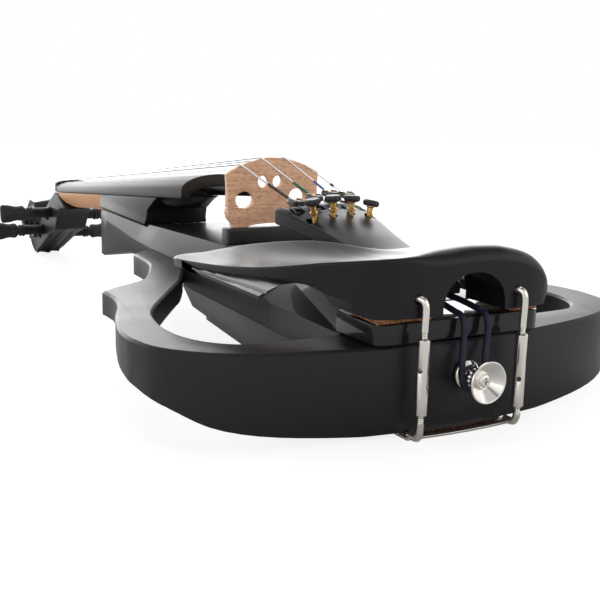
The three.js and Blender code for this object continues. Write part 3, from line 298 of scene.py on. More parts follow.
def hatched_gloss():
    """Crossed threads under clear gloss, their light and dark tones a painted sheen: strong on the block's
    sides, faint on top, none on the tail cap.
    """
    finish = Finish("hatched gloss black", {"IOR": 1.16, "Coat IOR": 1.4, "Coat Roughness": 0.06})
    x, y, z = finish.levelled()
    facing = finish.node("ShaderNodeNewGeometry", {}, {}, "Normal")
    upward = abs(finish.split(facing)[2]) > UPWARD
    rise = upward * x + (1 - upward) * z
    first = ((y + rise) * (math.tau / HATCH)).sine()
    second = ((y - rise) * (math.tau / HATCH)).sine()
    threads = first * second * 0.5 + 0.5
    block = y > CAP_BACK
    side = (1 - upward) * (z < HATCH_TOP) * block * finish.clamped((HATCH_END - y) / HATCH_FADE)
    # How strongly the painted sheen and the threads' real relief show: much on the block's sides, little on
    # its top
    shown = side * 0.9 + block * upward * 0.16
    haze = finish.noise(finish.millimetres(), 0.05, 3)
    plain = finish.mix(haze, (0.0085, 0.0082, 0.0095), (0.0065, 0.0062, 0.0072))
    # Painted sheen: the real weave drawn in a lighter and a darker tone over the plain black, standing in for
    # the fibres' reflection
    painted_sheen = finish.mix(threads, (0.022, 0.0212, 0.0228), (0.052, 0.05, 0.054))
    finish.feed("Coat Weight", finish.clamped((GLOSS_END - y) / GLOSS_FADE))
    return finish.made(finish.mix(shown, plain, painted_sheen),
        0.36 + side * 0.14 - threads * side * 0.1, threads * shown, 0.02, 0.4)


def oiled_wood(name, ior, fibre, wave, stops, tone, rough, bump):
    """Oiled wood: fine fibres or pores along its length, with a slower wave of one more tone across them."""
    finish = Finish(name, {"IOR": ior})
    fibres = finish.noise(finish.millimetres(fibre[:3]), 1, 4, fibre[3])
    waves = finish.noise(finish.millimetres(wave), 1, 2)
    return finish.made(finish.mix(waves * 0.5, finish.ramp(fibres, stops), tone),
        rough[0] + fibres * rough[1], fibres, *bump)


def bridge_maple():
    """The bridge's speckled maple: short dark flecks across a warm ground."""
    finish = Finish("speckled maple", {"IOR": 1.46})
    flecks = finish.noise(finish.millimetres((2.1, 0.8, 0.42)), 1, 3, 0.7)
    streak = finish.noise(finish.millimetres((16, 6, 1.1)), 1, 3)
    ground = finish.ramp(streak, [(0.32, (0.7, 0.38, 0.225)), (0.7, (0.9, 0.55, 0.345))])
    dots = finish.ramp(flecks, [(0.36, (1, 1, 1)), (0.46, (0, 0, 0))])
    spots = finish.node("ShaderNodeRGBToBW", {}, [dots])
    return finish.made(finish.mix(spots * 0.75, ground, (0.27, 0.13, 0.07)),
        0.52 + flecks * 0.12, flecks, 0.03, 0.3)


def metal(name, colour, rough, grain_mm):
    """Plated or turned metal with faint polishing marks."""
    finish = Finish(name, {"Metallic": 1})
    marks = finish.noise(finish.millimetres(grain_mm), 1, 3, 0.6)
    haze = finish.noise(finish.millimetres(), 0.35, 2)
    dull = tuple(0.86 * c for c in colour)
    return finish.made(finish.mix(haze, colour, dull),
        rough + haze * 0.06 + marks * 0.05, marks, 0.01, 0.2)


def cork_sheet(name, tone):
    """Pressed cork: coarse grains with dark gaps between them, their colours scaled by a tone."""
    finish = Finish(name, {"IOR": 1.4})
    place = finish.millimetres()
    cells = {"Vector": place, "Scale": 1.1}
    grains = finish.node("ShaderNodeTexVoronoi", {"feature": "F1"}, cells, "Distance")
    dust = finish.noise(place, 2.4, 3)
    stops = [(0.2, (0.45, 0.21, 0.1)), (0.5, (0.33, 0.14, 0.065)), (0.85, (0.1, 0.04, 0.02))]
    toned = [(share, tuple(tone * c for c in colour)) for share, colour in stops]
    return finish.made(finish.ramp(grains * 0.7 + dust * 0.4, toned),
        0.8 + dust * 0.15, grains + dust * 0.5, 0.2, 0.6)


def laid_cord(name, colour, shade, pitch_mm, rough=0.6):
    """A wound or laid cord: a ridge for each turn along its length, read from its own u and v, with painted
    shade in the grooves between turns.
    """
    finish = Finish(name, {"IOR": 1.45})
    u, v, _ = finish.split(finish.node("ShaderNodeUVMap", {"uv_map": "wrap"}, {}))
    ridge = ((u + v * pitch_mm) * (math.tau / pitch_mm)).sine() * 0.5 + 0.5
    fluff = finish.noise(finish.millimetres(), 4, 2)
    # Painted shade: the grooves between turns take the darker tone, shade; the fluff's share varies it at
    # random
    return finish.made(finish.mix(ridge * 0.7 + fluff * 0.3, shade, colour),
        rough + fluff * 0.2, ridge, 0.08, 0.6)


WIRE_PITCH = 0.22


def wound_steel():
    """A string wound with flat bright wire, darker in the grooves between its turns as painted shade."""
    finish = Finish("wound string", {"Metallic": 1})
    u, _, _ = finish.split(finish.node("ShaderNodeUVMap", {"uv_map": "wrap"}, {}))
    ridge = (u * (math.tau / WIRE_PITCH)).sine() * 0.5 + 0.5
    # Painted shade: the darker tone lies in the grooves between the wire's turns, the brighter one on their
    # crests
    return finish.made(finish.mix(ridge, (0.36, 0.36, 0.38), (0.56, 0.56, 0.58)),
        0.22 + ridge * 0.1, ridge, 0.02, 0.4)


# Places of the laminate's tracks: their pitch, and their half width as a share of it
TRACK_PITCH, TRACK_HALF = 2.54, 0.12


def board_laminate():
    """Green laminate with tinned tracks."""
    finish = Finish("circuit laminate", {"IOR": 1.5})
    x, _, _ = finish.split(finish.millimetres())
    lane = abs((x / TRACK_PITCH % 1) - 0.5) < TRACK_HALF
    track = lane * (finish.noise(finish.millimetres(), 0.16, 0) > 0.5)
    finish.feed("Metallic", track * 0.7)
    return finish.made(finish.mix(track, (0.012, 0.1, 0.042), (0.25, 0.23, 0.16)), 0.38 - track * 0.1)


def painted_case():
    """A plain block battery's painted steel jacket."""
    finish = Finish("battery jacket", {"Metallic": 0.4})
    haze = finish.noise(finish.millimetres(), 0.4, 2)
    band = finish.noise(finish.millimetres((900, 17, 900)), 1, 0) > 0.55
    return finish.made(finish.mix(band, (0.09, 0.1, 0.11), (0.28, 0.2, 0.09)), 0.32 + haze * 0.1)


SATIN = satin_lacquer()
REST_LACQUER = even_black("chinrest lacquer", 1.33, (INK, INK_DEEP), (0.27, 0.07), (0.05, 3), (1.3, 2),
    (0.008, 0.25))
HOUSING = even_black("housing satin", 1.5, ((0.024, 0.0232, 0.025), SOOT), (0.42, 0.1), (0.03, 3), (2.2, 2),
    (0.012, 0.35))
TAIL_SATIN = even_black("tailpiece satin", 1.27, (INK, SOOT), (0.27, 0.08), (0.06, 3), (2.6, 3, 0.6),
    (0.015, 0.3))
GLOSS = even_black("gloss black", 1.5, ((0.009, 0.009, 0.01), (0.006, 0.006, 0.007)), (0.12, 0.1), (0.6, 2),
    None, (0.01, 0.3))
PLASTIC = even_black("moulded black plastic", 1.5, ((0.012, 0.012, 0.013), (0.02, 0.019, 0.02)), (0.36, 0.18),
    (3.2, 3, 0.6), None, (0.03, 0.35))
HATCHED = hatched_gloss()
EBONY = oiled_wood("oiled black hardwood", 1.36, (0.28, 16, 0.28, 0.65), (9, 60, 9),
    [(0.35, (0.006, 0.0055, 0.0055)), (0.62, (0.016, 0.0145, 0.014))], (0.021, 0.018, 0.017), (0.34, 0.16),
    (0.03, 0.3))
MAPLE = oiled_wood("oiled maple", 1.48, (0.35, 22, 0.35, 0.6), (14, 5, 14),
    [(0.3, (0.46, 0.21, 0.092)), (0.7, (0.66, 0.34, 0.16))], (0.72, 0.4, 0.2), (0.4, 0.12), (0.02, 0.25))
BRIDGE = bridge_maple()
NICKEL = metal("nickel plate", (0.86, 0.82, 0.76), 0.13, (0.3, 0.3, 4))
POLISHED = metal("polished nickel", (0.93, 0.9, 0.86), 0.08, (2, 2, 2))
BRASS = metal("turned brass", (0.6, 0.37, 0.12), 0.2, (0.4, 0.4, 0.15))
PLAIN_WIRE = metal("plain wire", (0.5, 0.5, 0.52), 0.16, (0.3, 4, 0.3))
CORK = cork_sheet("pressed cork", 1)
DARK_CORK = cork_sheet("worn dark cork", 0.16)
# Tail cord: its second tone is the painted shade in the grooves between its turns
GUT = laid_cord("tail cord", (0.004, 0.0065, 0.03), (0.002, 0.0026, 0.011), 1.1, 0.46)
STEEL = wound_steel()
# Silks: the second tone of each is the painted shade in the grooves between its turns
SILKS = {
    "g": laid_cord("brown silk", (0.036, 0.02, 0.014), (0.014, 0.008, 0.006), 0.5),
    "d": laid_cord("green silk", (0.01, 0.16, 0.06), (0.004, 0.05, 0.02), 0.5),
    "a": laid_cord("blue silk", (0.02, 0.12, 0.42), (0.008, 0.04, 0.16), 0.5),
    "e": laid_cord("dark silk", (0.03, 0.03, 0.035), (0.01, 0.01, 0.012), 0.5),
}
LAMINATE = board_laminate()
JACKET = painted_case()


def shading_form():
    """Smooth shading, with an edge kept sharp where its faces turn by more than the named angle."""
    form = Form("shade by angle", "Angle")
    kind = "GeometryNodeSetShadeSmooth"
    faces = form.node(kind, {}, {"Geometry": form["Geometry"], "Shade Smooth": True})
    turn = form.node("GeometryNodeInputMeshEdgeAngle", {}, {})
    within = form.node("FunctionNodeCompare", {"operation": "LESS_THAN"}, [turn, form["Angle"]])
    return form.close(form.node(kind, {"domain": "EDGE"}, {"Geometry": faces, "Shade Smooth": within}))


SHADING = shading_form()
SHARP = math.radians(34)
SMOOTH = math.pi


def shade(piece, angle):
    modifier = piece.modifiers.new("shade", "NODES")
    modifier.node_group = SHADING.tree
    modifier[SHADING.keys["Angle"]] = angle


# Forms, all in the level drawing's millimetres until TIP lays them down
def between(stations, steps):
    """More stations between the given ones, on monotone cubics of the first number: none overshoots."""
    rows = [Vector(row) for row in stations]
    spans = [b[0] - a[0] for a, b in zip(rows, rows[1:])]
    rises = [(b - a) / span for a, b, span in zip(rows, rows[1:], spans)]

    def slope(before, after):
        return [0 if p * q <= 0 else 2 * p * q / (p + q) for p, q in zip(before, after)]

    slopes = [rises[0], *[Vector(slope(p, q)) for p, q in zip(rises, rises[1:])], rises[-1]]
    dense = []
    for a, b, at_a, at_b, span in zip(rows, rows[1:], slopes, slopes[1:], spans):
        for step in range(steps):
            t = step / steps
            dense.append(a * (2 * t ** 3 - 3 * t ** 2 + 1) + b * (3 * t ** 2 - 2 * t ** 3)
                + at_a * span * (t ** 3 - 2 * t ** 2 + t) + at_b * span * (t ** 3 - t ** 2))
    return [*dense, rows[-1]]


def route(points, steps):
    """A smooth route through the points, as a bent rod or a cord takes it, in so many steps to a span."""
    points = [Vector(point) for point in points]
    ends = [2 * points[0] - points[1], *points, 2 * points[-1] - points[-2]]
    path = []
    for a, b, c, d in zip(ends, ends[1:], ends[2:], ends[3:]):
        before, span, after = ((q - p).length ** 0.5 for p, q in ((a, b), (b, c), (c, d)))
        leave = ((b - a) / before - (c - a) / (before + span) + (c - b) / span) * span
        reach = ((c - b) / span - (d - b) / (span + after) + (d - c) / after) * span
        for step in range(steps):
            t = step / steps
            path.append(b + leave * t + (3 * (c - b) - 2 * leave - reach) * t ** 2
                + (2 * (b - c) + leave + reach) * t ** 3)
    return [*path, points[-1]]


def eased(rows, steps=5):
    """An outline whose corners are rounded by their third number."""
    points = []
    for index, row in enumerate(rows):
        here = Vector(row[:2])
        if len(row) < 3:
            points.append(here)
            continue
        back = Vector(rows[index - 1][:2]) - here
        on = Vector(rows[(index + 1) % len(rows)][:2]) - here
        reach = min(row[2] / math.tan(back.angle(on) / 2), 0.48 * back.length, 0.48 * on.length)
        start, end = here + back.normalized() * reach, here + on.normalized() * reach
        for step in range(steps + 1):
            t = step / steps
            points.append(start * (1 - t) ** 2 + here * 2 * t * (1 - t) + end * t ** 2)
    return points


def oval(middle, radii, count, start=0, sweep=math.tau):
    """Points of an oval about a middle, or of a stretch of it with both of its ends."""
    whole = abs(sweep) >= math.tau
    angles = [start + sweep * i / (count if whole else count - 1) for i in range(count)]
    return [Vector((middle[0] + radii[0] * math.cos(a), middle[1] + radii[1] * math.sin(a))) for a in angles]


def skin(rings, along=None, joined=False):
    """A closed mesh over rings of equal length. Along gives each ring's place on the wrap, in millimetres."""
    size, count = len(rings[0]), len(rings)
    faces = []
    for ring in range(count if joined else count - 1):
        on = (ring + 1) % count
        for i in range(size):
            j = (i + 1) % size
            faces.append((ring * size + i, ring * size + j, on * size + j, on * size + i))
    if not joined:
        faces += [tuple(reversed(range(size))), tuple(range((count - 1) * size, count * size))]
    mesh = bpy.data.meshes.new("form")
    mesh.from_pydata([tuple(point) for ring in rings for point in ring], [], faces)
    if along:
        wrap = mesh.uv_layers.new(name="wrap").data
        for face in mesh.polygons[:(count - 1) * size]:
            ring, i = divmod(face.index, size)
            corners = ((ring, i), (ring, i + 1), (ring + 1, i + 1), (ring + 1, i))
            for loop, (r, turn) in zip(face.loop_indices, corners):
                wrap[loop].uv = (along[r], turn / size)
    return outward(mesh)


def outward(mesh):
    """The mesh with its doubles merged and its faces turned out."""
    work = bmesh.new()
    work.from_mesh(mesh)
    bmesh.ops.remove_doubles(work, verts=work.verts, dist=1e-4)
    bmesh.ops.recalc_face_normals(work, faces=work.faces)
    work.to_mesh(mesh)
    work.free()
    return mesh


def swept(path, radius, sides):
    """A round rod or cord along the path, its section carried along without twisting."""
    last = len(path) - 1
    radii = radius if isinstance(radius, list) else [radius] * len(path)
    ahead = [(path[min(i + 1, last)] - path[max(i - 1, 0)]).normalized() for i in range(last + 1)]
    lead = Vector((1, 0, 0)) if abs(ahead[0].x) < 0.9 else Vector((0, 0, 1))
    across = lead.cross(ahead[0]).normalized()
    rings, along, gone = [], [], 0
    for i, (place, direction) in enumerate(zip(path, ahead)):
        across = (across - direction * across.dot(direction)).normalized()
        up = direction.cross(across)
        rings.append([place + across * u + up * v for u, v in oval((0, 0), (radii[i], radii[i]), sides)])
        gone += (place - path[max(i - 1, 0)]).length
        along.append(gone)
    return skin(rings, along)


def stood(mesh, start, direction):
    """The mesh moved so that its Z axis goes from start along direction."""
    turn = Vector((0, 0, 1)).rotation_difference(Vector(direction)).to_matrix().to_4x4()
    mesh.transform(Matrix.Translation(start) @ turn)
    return mesh


def turned(profile, sides, start=(0, 0, 0), direction=(0, 0, 1), joined=False):
    """A turned piece: radius and height of its profile's points, on an axis from start along direction."""
    angles = [math.tau * i / sides for i in range(sides)]
    rings = [[(r * math.cos(a), r * math.sin(a), h) for a in angles] for r, h in profile]
    return stood(skin(rings, joined=joined), start, direction)


def rod(start, end, radius, sides=32):
    start, end = Vector(start), Vector(end)
    length = (end - start).length
    return turned([(0, 0), (radius, 0), (radius, length), (0, length)], sides, start, end - start)


def slab(outline, axis, low, high):
    """An outline pushed straight along an axis: its two numbers are the other two places, in order."""
    place = "XYZ".index(axis)
    return skin([[(*point[:place], w, *point[place:]) for point in outline] for w in (low, high)])


def brick(x, y, z):
    """A plain box from the first to the second place of each direction."""
    return slab([(x[0], y[0]), (x[1], y[0]), (x[1], y[1]), (x[0], y[1])], "Z", *z)


def tilted(outline, middle, degrees):
    """A flat outline turned about its own middle and set down on another."""
    c, s = math.cos(math.radians(degrees)), math.sin(math.radians(degrees))
    return [(middle[0] + u * c - v * s, middle[1] + u * s + v * c) for u, v in outline]


def gathered(meshes):
    """Several meshes as one, each still closed by itself, with the wrap that they hold."""
    work = bmesh.new()
    work.loops.layers.uv.new("wrap")
    for mesh in meshes:
        work.from_mesh(mesh)
    whole = bpy.data.meshes.new("form")
    work.to_mesh(whole)
    work.free()
    return whole


def work_on(piece, *steps):
    """Gives the piece modifiers, each a kind and its settings."""
    for kind, settings in steps:
        modifier = piece.modifiers.new(kind.lower(), kind)
        for name, value in settings.items():
            setattr(modifier, name, value)
    return piece


def broken_edges(width, segments):
    return "BEVEL", {"width": width, "segments": segments, "limit_method": "ANGLE", "angle_limit": SHARP}


def softened(mesh, width, segments=4):
    """The mesh with its sharp edges broken."""
    return baked(work_on(placed("work", mesh), broken_edges(width, segments)))


def carved(blank, tools):
    """The blank with each tool cut away from it."""
    holders = [placed("tool", tool) for tool in tools]
    cuts = [("BOOLEAN", {"operation": "DIFFERENCE", "solver": "EXACT", "object": tool}) for tool in holders]
    result = baked(work_on(placed("work", blank), *cuts))
    for holder in holders:
        bpy.data.objects.remove(holder)
    return result


def evened(mesh, voxel, rounds):
    """The forms of a mesh melted into one even skin, its edges and seams eased."""
    return baked(work_on(placed("work", mesh), ("REMESH", {"mode": "VOXEL", "voxel_size": voxel}),
        ("SMOOTH", {"factor": 0.5, "iterations": rounds})))


def laid(mesh, name, body, nodes, material, angle=SHARP):
    """A finished piece, laid down in the frame on the body that it rides on, for the nodes it stands for."""
    mesh.transform(TIP)
    mesh.materials.clear()
    mesh.materials.append(material)
    mesh.name = name
    piece = placed(name, mesh)
    shade(piece, angle)
    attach(piece, body)
    if nodes:
        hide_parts(*nodes)
    return piece


# Ridges round a turned piece: scallops, knurls and threads. One small number keeps them off a division by
# zero, the other keeps the scroll's turns off their seams
NEARLY_NONE = 1e-4
HAIR = 1e-5


def ridge_form():
    """Presses ridges into a blank turned about Z: Count of them round it, or a thread when Lead is set."""
    form = Form("turned ridges", "Count", "Lead", "Depth", "Low", "High", "Fade", "Rim", "Material")
    x, y, z = form.split(form.node("GeometryNodeInputPosition", {}, {}))
    radius = form.math("MAXIMUM", (x * x + y * y) ** 0.5, NEARLY_NONE)
    phase = form.math("ARCTAN2", y, x) * form["Count"] + z * form["Lead"] * math.tau
    groove = 0.5 - phase.sine() * 0.5
    rise = form.clamped((z - form["Low"]) / form["Fade"])
    fall = form.clamped((form["High"] - z) / form["Fade"])
    outer = form.clamped(radius / form["Rim"]) ** 8
    inward = groove * rise * fall * outer * form["Depth"] / radius
    return form.end(Offset=form.node("ShaderNodeCombineXYZ", {}, [x * inward * -1, y * inward * -1, 0.0]))


def spiral_form():
    """Winds a flat grid into a scroll: on it X counts turns inwards, Y runs once round and Z is the side."""
    form = Form("scroll", "Outer", "Inner", "Turns", "Start", "Half", "Rise", "Flute", "Eye", "Material")
    coil, once, side = form.split(form.node("GeometryNodeInputPosition", {}, {}))
    shrink = form["Inner"] / form["Outer"]
    radius = form["Outer"] * shrink ** ((coil + once) / form["Turns"])
    angle = form["Start"] + once * math.tau
    wound = form.clamped((math.floor(coil + HAIR) + once) / form["Turns"])
    hollow = ((coil + HAIR) % 1 * math.pi).sine() * form["Flute"]
    eye = form.clamped((form["Eye"] - radius) * 4)
    half = form["Half"] + form["Rise"] * wound - hollow * (1 - eye)
    place = [side * half, radius * (angle + math.pi / 2).sine(), radius * angle.sine()]
    return form.end(Position=form.node("ShaderNodeCombineXYZ", {}, place))


RIDGES = ridge_form()
SPIRAL = spiral_form()


# Chinrest stations: X, near Y and z, far Y and z, dish drop, underside z at the near wall
REST = [(-69.6, 89, 50.2, 97.5, 49.6, 0.6, 48), (-68, 75, 51, 100.4, 49.8, 1.6, 48.8),
    (-65, 55, 52.6, 102, 50, 2.6, 50), (-61, 37, 54.9, 102.6, 50.2, 3.4, 51.2),
    (-55, 20, 58.1, 102.4, 50.4, 4.6, 51.4), (-50.5, 12, 59.8, 102, 51, 5.2, 50.3),
    (-45, 6, 60.8, 101, 51.8, 5.4, 47.4), (-41, 3, 61.3, 99.4, 52.6, 5.4, 46),
    (-37, 0.8, 61.6, 96, 53.6, 5.2, 46), (-33, -0.9, 61.9, 89, 55, 4.8, 46),
    (-29.6, -1.9, 62.1, 79, 56.8, 4.2, 46), (-27, -2.4, 62.3, 64, 59, 3.4, 46),
    (-24.6, -2.7, 62.5, 48, 60.2, 2.4, 46), (-22, -2.9, 62.7, 34, 60.4, 1.4, 46),
    (-18, -3, 62.9, 26, 60.6, 0.2, 46), (-10, -3, 63.3, 23.4, 61.2, -0.4, 46),
    (2, -3, 63.9, 22.6, 61.6, -0.6, 46), (12, -3, 63.6, 22.4, 61.2, -0.6, 46),
    (20, -2.8, 62.3, 22, 59.8, -0.6, 46), (27, -2.4, 60.2, 21.4, 58, -0.6, 46),
    (32, -1.6, 57.4, 20.4, 55.6, -0.5, 46), (35.5, -0.4, 54.2, 19, 53, -0.4, 45.4),
    (38, 1.8, 50.8, 17, 50.2, -0.2, 45.2), (39.2, 5.4, 48.2, 14, 48, -0.1, 45.4)]
# The cup's thickness, the near toe's depth, the near wall's least height, the cup's lowest underside, and the
# least wood over the tunnel
REST_SHELL, REST_TOE, REST_LIP, REST_FLOOR, REST_THIN = 3.4, 4, 1.8, 41.4, 1.2
# Rounding of both rims, on the cup and on the bar: inwards, downwards
CUP_RIM = (1.5, 1.3)
BAR_RIM = (6, 5)
CUP_TO_BAR = (-32, -12)
# What a rim may take of the width and of the near wall's height, and what the toe may take of the width
RIM_SHARE, DROP_SHARE, TOE_SHARE = 0.32, 0.8, 0.3
# Straight wall below the near rim, above and at the foot; and below the far one, everywhere and on the cup
NEAR_WALL = (0.15, 0.3)
FAR_WALL = (0.4, 1.2)
RIM_STEPS, TOP_STEPS, BACK_STEPS, FOOT_STEPS = 7, 25, 8, 7
FOOT_LOW = [(-52, 60), (-48.5, 50.4), (-45, 47.2), (-41.3, 42.4), (-38, 41.3), (34, 41.3), (36.2, 45.4)]
FOOT_BACK = [(-48.5, 22), (33, 22), (36.2, 16.5)]
FOOT_INSIDE = 0.2
ARCH = (-12.4, 14.4)
ARCH_SPRING = 44.2
ARCH_RUN = [(-10, 54.9), (4, 55.9), (34, 60)]
# A hook's hole: its run before the hook's last bend and past its end, and its clearance
HOOK_HOLE = (4, 0.6, 0.3)


def level(table, x):
    """A table's second number at x, on straight lines between its rows."""
    for (low, first), (high, last) in zip(table, table[1:]):
        if x <= high:
            break
    share = min(max((x - low) / (high - low), 0), 1)
    return first + (last - first) * share


def melt(low, high, x):
    """A soft step from 0 to 1 between two places."""
    share = min(max((x - low) / (high - low), 0), 1)
    return share * share * (3 - 2 * share)


def arch_level(x, y):
    """Height of the tunnel's roof over the tailpiece's end; nothing beside the tunnel."""
    middle, half = (ARCH[0] + ARCH[1]) / 2, (ARCH[1] - ARCH[0]) / 2
    off = abs(x - middle) / half
    return ARCH_SPRING + (level(ARCH_RUN, y) - ARCH_SPRING) * math.sqrt(1 - off * off) if off <= 1 else 0


def rest_ring(x, near, near_z, far, far_z, dish, low, tunnel):
    """A section of the chinrest at x: cup or bar on top, the foot below, and the tunnel through the foot."""
    width = far - near
    bar = melt(*CUP_TO_BAR, x)
    under = min(low, near_z - REST_LIP)
    rim, drop = (on_cup * (1 - bar) + on_bar * bar for on_cup, on_bar in zip(CUP_RIM, BAR_RIM))
    rim, drop = min(rim, RIM_SHARE * width), min(drop, DROP_SHARE * (near_z - under))

    def top(y):
        share = (y - near) / width
        return near_z + (far_z - near_z) * share - dish * math.sin(math.pi * share)

    def rounded(edge, inwards):
        """One rim's rounding, from the outside up to the top."""
        points = []
        for i in range(RIM_STEPS + 1):
            angle = math.pi / 2 * i / RIM_STEPS
            y = edge + inwards * rim * (1 - math.cos(angle))
            points.append((y, top(y) - drop * (1 - math.sin(angle))))
        return points

    def shell(y):
        cup = max(top(y) - REST_SHELL, REST_FLOOR)
        body = cup * (1 - bar) + under * bar
        return min(body, under) if y < near + min(REST_TOE, TOE_SHARE * width) else body

    def base(y, height):
        lowest = min(max(height, arch_level(x, y) if tunnel else 0), top(y) - REST_THIN)
        return min(lowest, near_z - drop - NEAR_WALL[1]) if y == near else lowest

    foot = min(level(FOOT_LOW, x), shell(near))
    ring = [(near, base(near, foot)), (near, near_z - drop - NEAR_WALL[0]), *rounded(near, 1)]
    for i in range(1, TOP_STEPS):
        y = near + rim + (width - 2 * rim) * i / TOP_STEPS
        ring.append((y, top(y)))
    ring += reversed(rounded(far, -1))
    start = far - 0.5 * rim
    back = min(level(FOOT_BACK, x), start - FOOT_INSIDE)
    far_under = top(far) - drop - FAR_WALL[0] - FAR_WALL[1] * (1 - bar)
    for i in range(BACK_STEPS + 1):
        y = start + (back - start) * i / BACK_STEPS
        height = base(y, shell(y))
        ring.append((y, min(height, far_under) if i < 2 else height))
    for i in range(FOOT_STEPS):
        y = back + (near - back) * i / FOOT_STEPS
        ring.append((y, base(y, min(foot, shell(y)))))
    return [(x, y, z) for y, z in ring]


def chinrest_form():
    rows = between(REST, 6)
    rings = []
    for here, there in zip(rows, rows[1:]):
        rings.append(rest_ring(*here, ARCH[0] < here[0] < ARCH[1]))
        for spot in ARCH:
            if here[0] < spot <= there[0]:
                row = here.lerp(there, (spot - here[0]) / (there[0] - here[0]))
                row[0] = spot
                sides = (False, True) if spot == ARCH[0] else (True, False)
                rings += [rest_ring(*row, side) for side in sides]
    rings.append(rest_ring(*rows[-1], False))
    before, past, clear = HOOK_HOLE
    holes = []
    for x, _, _ in LEGS.values():
        mouth, end = hook_path(x)[-2:]
        run = (end - mouth).normalized()
        holes.append(rod(mouth - before * run, end + past * run, ROD + clear))
    return carved(skin(rings), holes)


# Clamp: rods, barrels and the foot plate. Legs: X, bottom and top z of the barrel
LEGS = {"bass": (-21.5, 7.7, 35), "treble": (21, 5.2, 32.6)}
CLAMP_Y = -5.2
ROD = 1.35
# A barrel's radius, and how far its broken end goes in and along
BARREL, BARREL_END = 2.15, (0.75, 0.65)
CROSS_HOLE = 0.92
CROSS_APART = 2.7
# Which way each barrel's upper cross hole looks, in degrees about Z; the other one is square to it
CROSS_LOOKS = {"bass": 207, "treble": 137}
# The straight runs of the rods above and below a barrel, and their bends
HOOK_RISE = (2.2, 3, 4)
HOOK_BEND = [(0, 0, 45.7), (-0.5, 0.6, 47.4), (-1.1, 1.8, 48), (-1.8, 7.8, 46)]
FOOT_FALL = (2.3, 2.9)
FOOT_BEND = [(0.3, 1.2), (1.4, -0.35), (3.2, -0.7), (6, -0.74)]
TAIL_CORK = {"low": -0.95, "high": -0.25, "sag": 0.7, "side": 2, "back": 5, "half": 19.4}
PLATE = {"low": -2.1, "high": -1.2, "sag": -2.4, "side": -0.8, "back": 8, "half": 23.6}
STRIP_STEPS = 24
# The rods' threads, how far they stand under the rod's radius, and their runs above and below a barrel
THREAD = {"Lead": 1 / 0.7, "Count": 1.0, "Depth": 0.2, "Fade": 0.3}
THREAD_SINK = 0.12
HOOK_THREAD, FOOT_THREAD = (0.1, 2.4), (-2.5, -0.1)


def hook_path(x):
    return [Vector((x + across, CLAMP_Y + y, z)) for across, y, z in HOOK_BEND]


def threaded(low, high, start):
    """The threaded end of a rod, from low to high over its start."""
    radius = ROD - THREAD_SINK
    count = max(int((high - low) * 10), 4)
    wall = [(radius, low + (high - low) * i / count) for i in range(count + 1)]
    blank = turned([(0, low), *wall, (0, high)], 28)
    screw = RIDGES.on(blank, Low=low, High=high, Rim=radius, Material=NICKEL, **THREAD)
    return stood(screw, start, (0, 0, 1))


def clamp_hook(x, high):
    straight = [Vector((x, CLAMP_Y, high + rise)) for rise in HOOK_RISE]
    path = route([*straight, *hook_path(x)], 10)
    return gathered([swept(path, ROD, 32), threaded(*HOOK_THREAD, (x, CLAMP_Y, high))])


def clamp_barrel(leg, x, low, high):
    half = (high - low) / 2
    middle = Vector((x, CLAMP_Y, (low + high) / 2))
    neck, rim = BARREL - BARREL_END[0], half - BARREL_END[1]
    blank = turned(eased([(0, -half), (neck, -half, 0.15), (BARREL, -rim, 0.3), (BARREL, rim, 0.3),
        (neck, half, 0.15), (0, half)]), 64, middle)
    holes = []
    for look, rise in ((CROSS_LOOKS[leg], CROSS_APART), (CROSS_LOOKS[leg] + 90, -CROSS_APART)):
        way = Vector((math.cos(math.radians(look)), math.sin(math.radians(look)), 0)) * 4
        centre = middle + Vector((0, 0, rise))
        holes.append(rod(centre - way, centre + way, CROSS_HOLE))
    return softened(carved(blank, holes), 0.1, 2)


def strip(low, high, sag, side, back, half):
    """A flat strip under the tail, its front edge bowed as the tail wall is."""
    plan = []
    for i in range(STRIP_STEPS + 1):
        s = i / STRIP_STEPS
        bow = (1 - s) ** 2 * side + 2 * s * (1 - s) * (2 * sag - side) + s * s * side
        plan.append((half * (2 * s - 1), bow))
    return softened(slab([*plan, (half, back), (-half, back)], "Z", low, high), 0.18)


def clamp_foot():
    rods = []
    for x, low, _ in LEGS.values():
        bend = [Vector((x, CLAMP_Y, low - fall)) for fall in FOOT_FALL]
        bend += [Vector((x, CLAMP_Y + y, z)) for y, z in FOOT_BEND]
        rods += [swept(route(bend, 10), ROD, 32), threaded(*FOOT_THREAD, (x, CLAMP_Y, low))]
    return gathered([strip(**PLATE), *rods])


# End button: its axis, and radius and distance out of each point of its section, with a rounding
BUTTON = (0.8, 18.8)
BUTTON_SECTION = [(1.9, 0.3), (5.2, 0.3, 0.3), (5.2, 1.5, 0.5), (3.7, 2.5, 0.8), (3.3, 4.2, 1),
    (4.3, 5.2, 0.7), (4.6, 6.8, 0.8), (3.9, 7.9, 0.5), (6.9, 11.9, 0.6), (7.6, 12.7, 0.35), (7.4, 13.2, 0.25),
    (6.9, 13.1, 0.2), (2.75, 9.7, 0.3), (1.9, 9.7)]
BUTTON_RIBS = {"Count": 16.0, "Lead": 0.0, "Depth": 0.35, "Low": 4.7, "High": 7.7, "Fade": 0.8, "Rim": 4.2}
SCREW_SECTION = [(0, 0.1), (1.6, 0, 0.5), (2.3, 0.35, 0.5), (2.6, 1.3, 0.2), (1.6, 1.4), (1.6, 26),
    (0.6, 27.2), (0, 27.8)]
SCREW_FRONT = -11.4
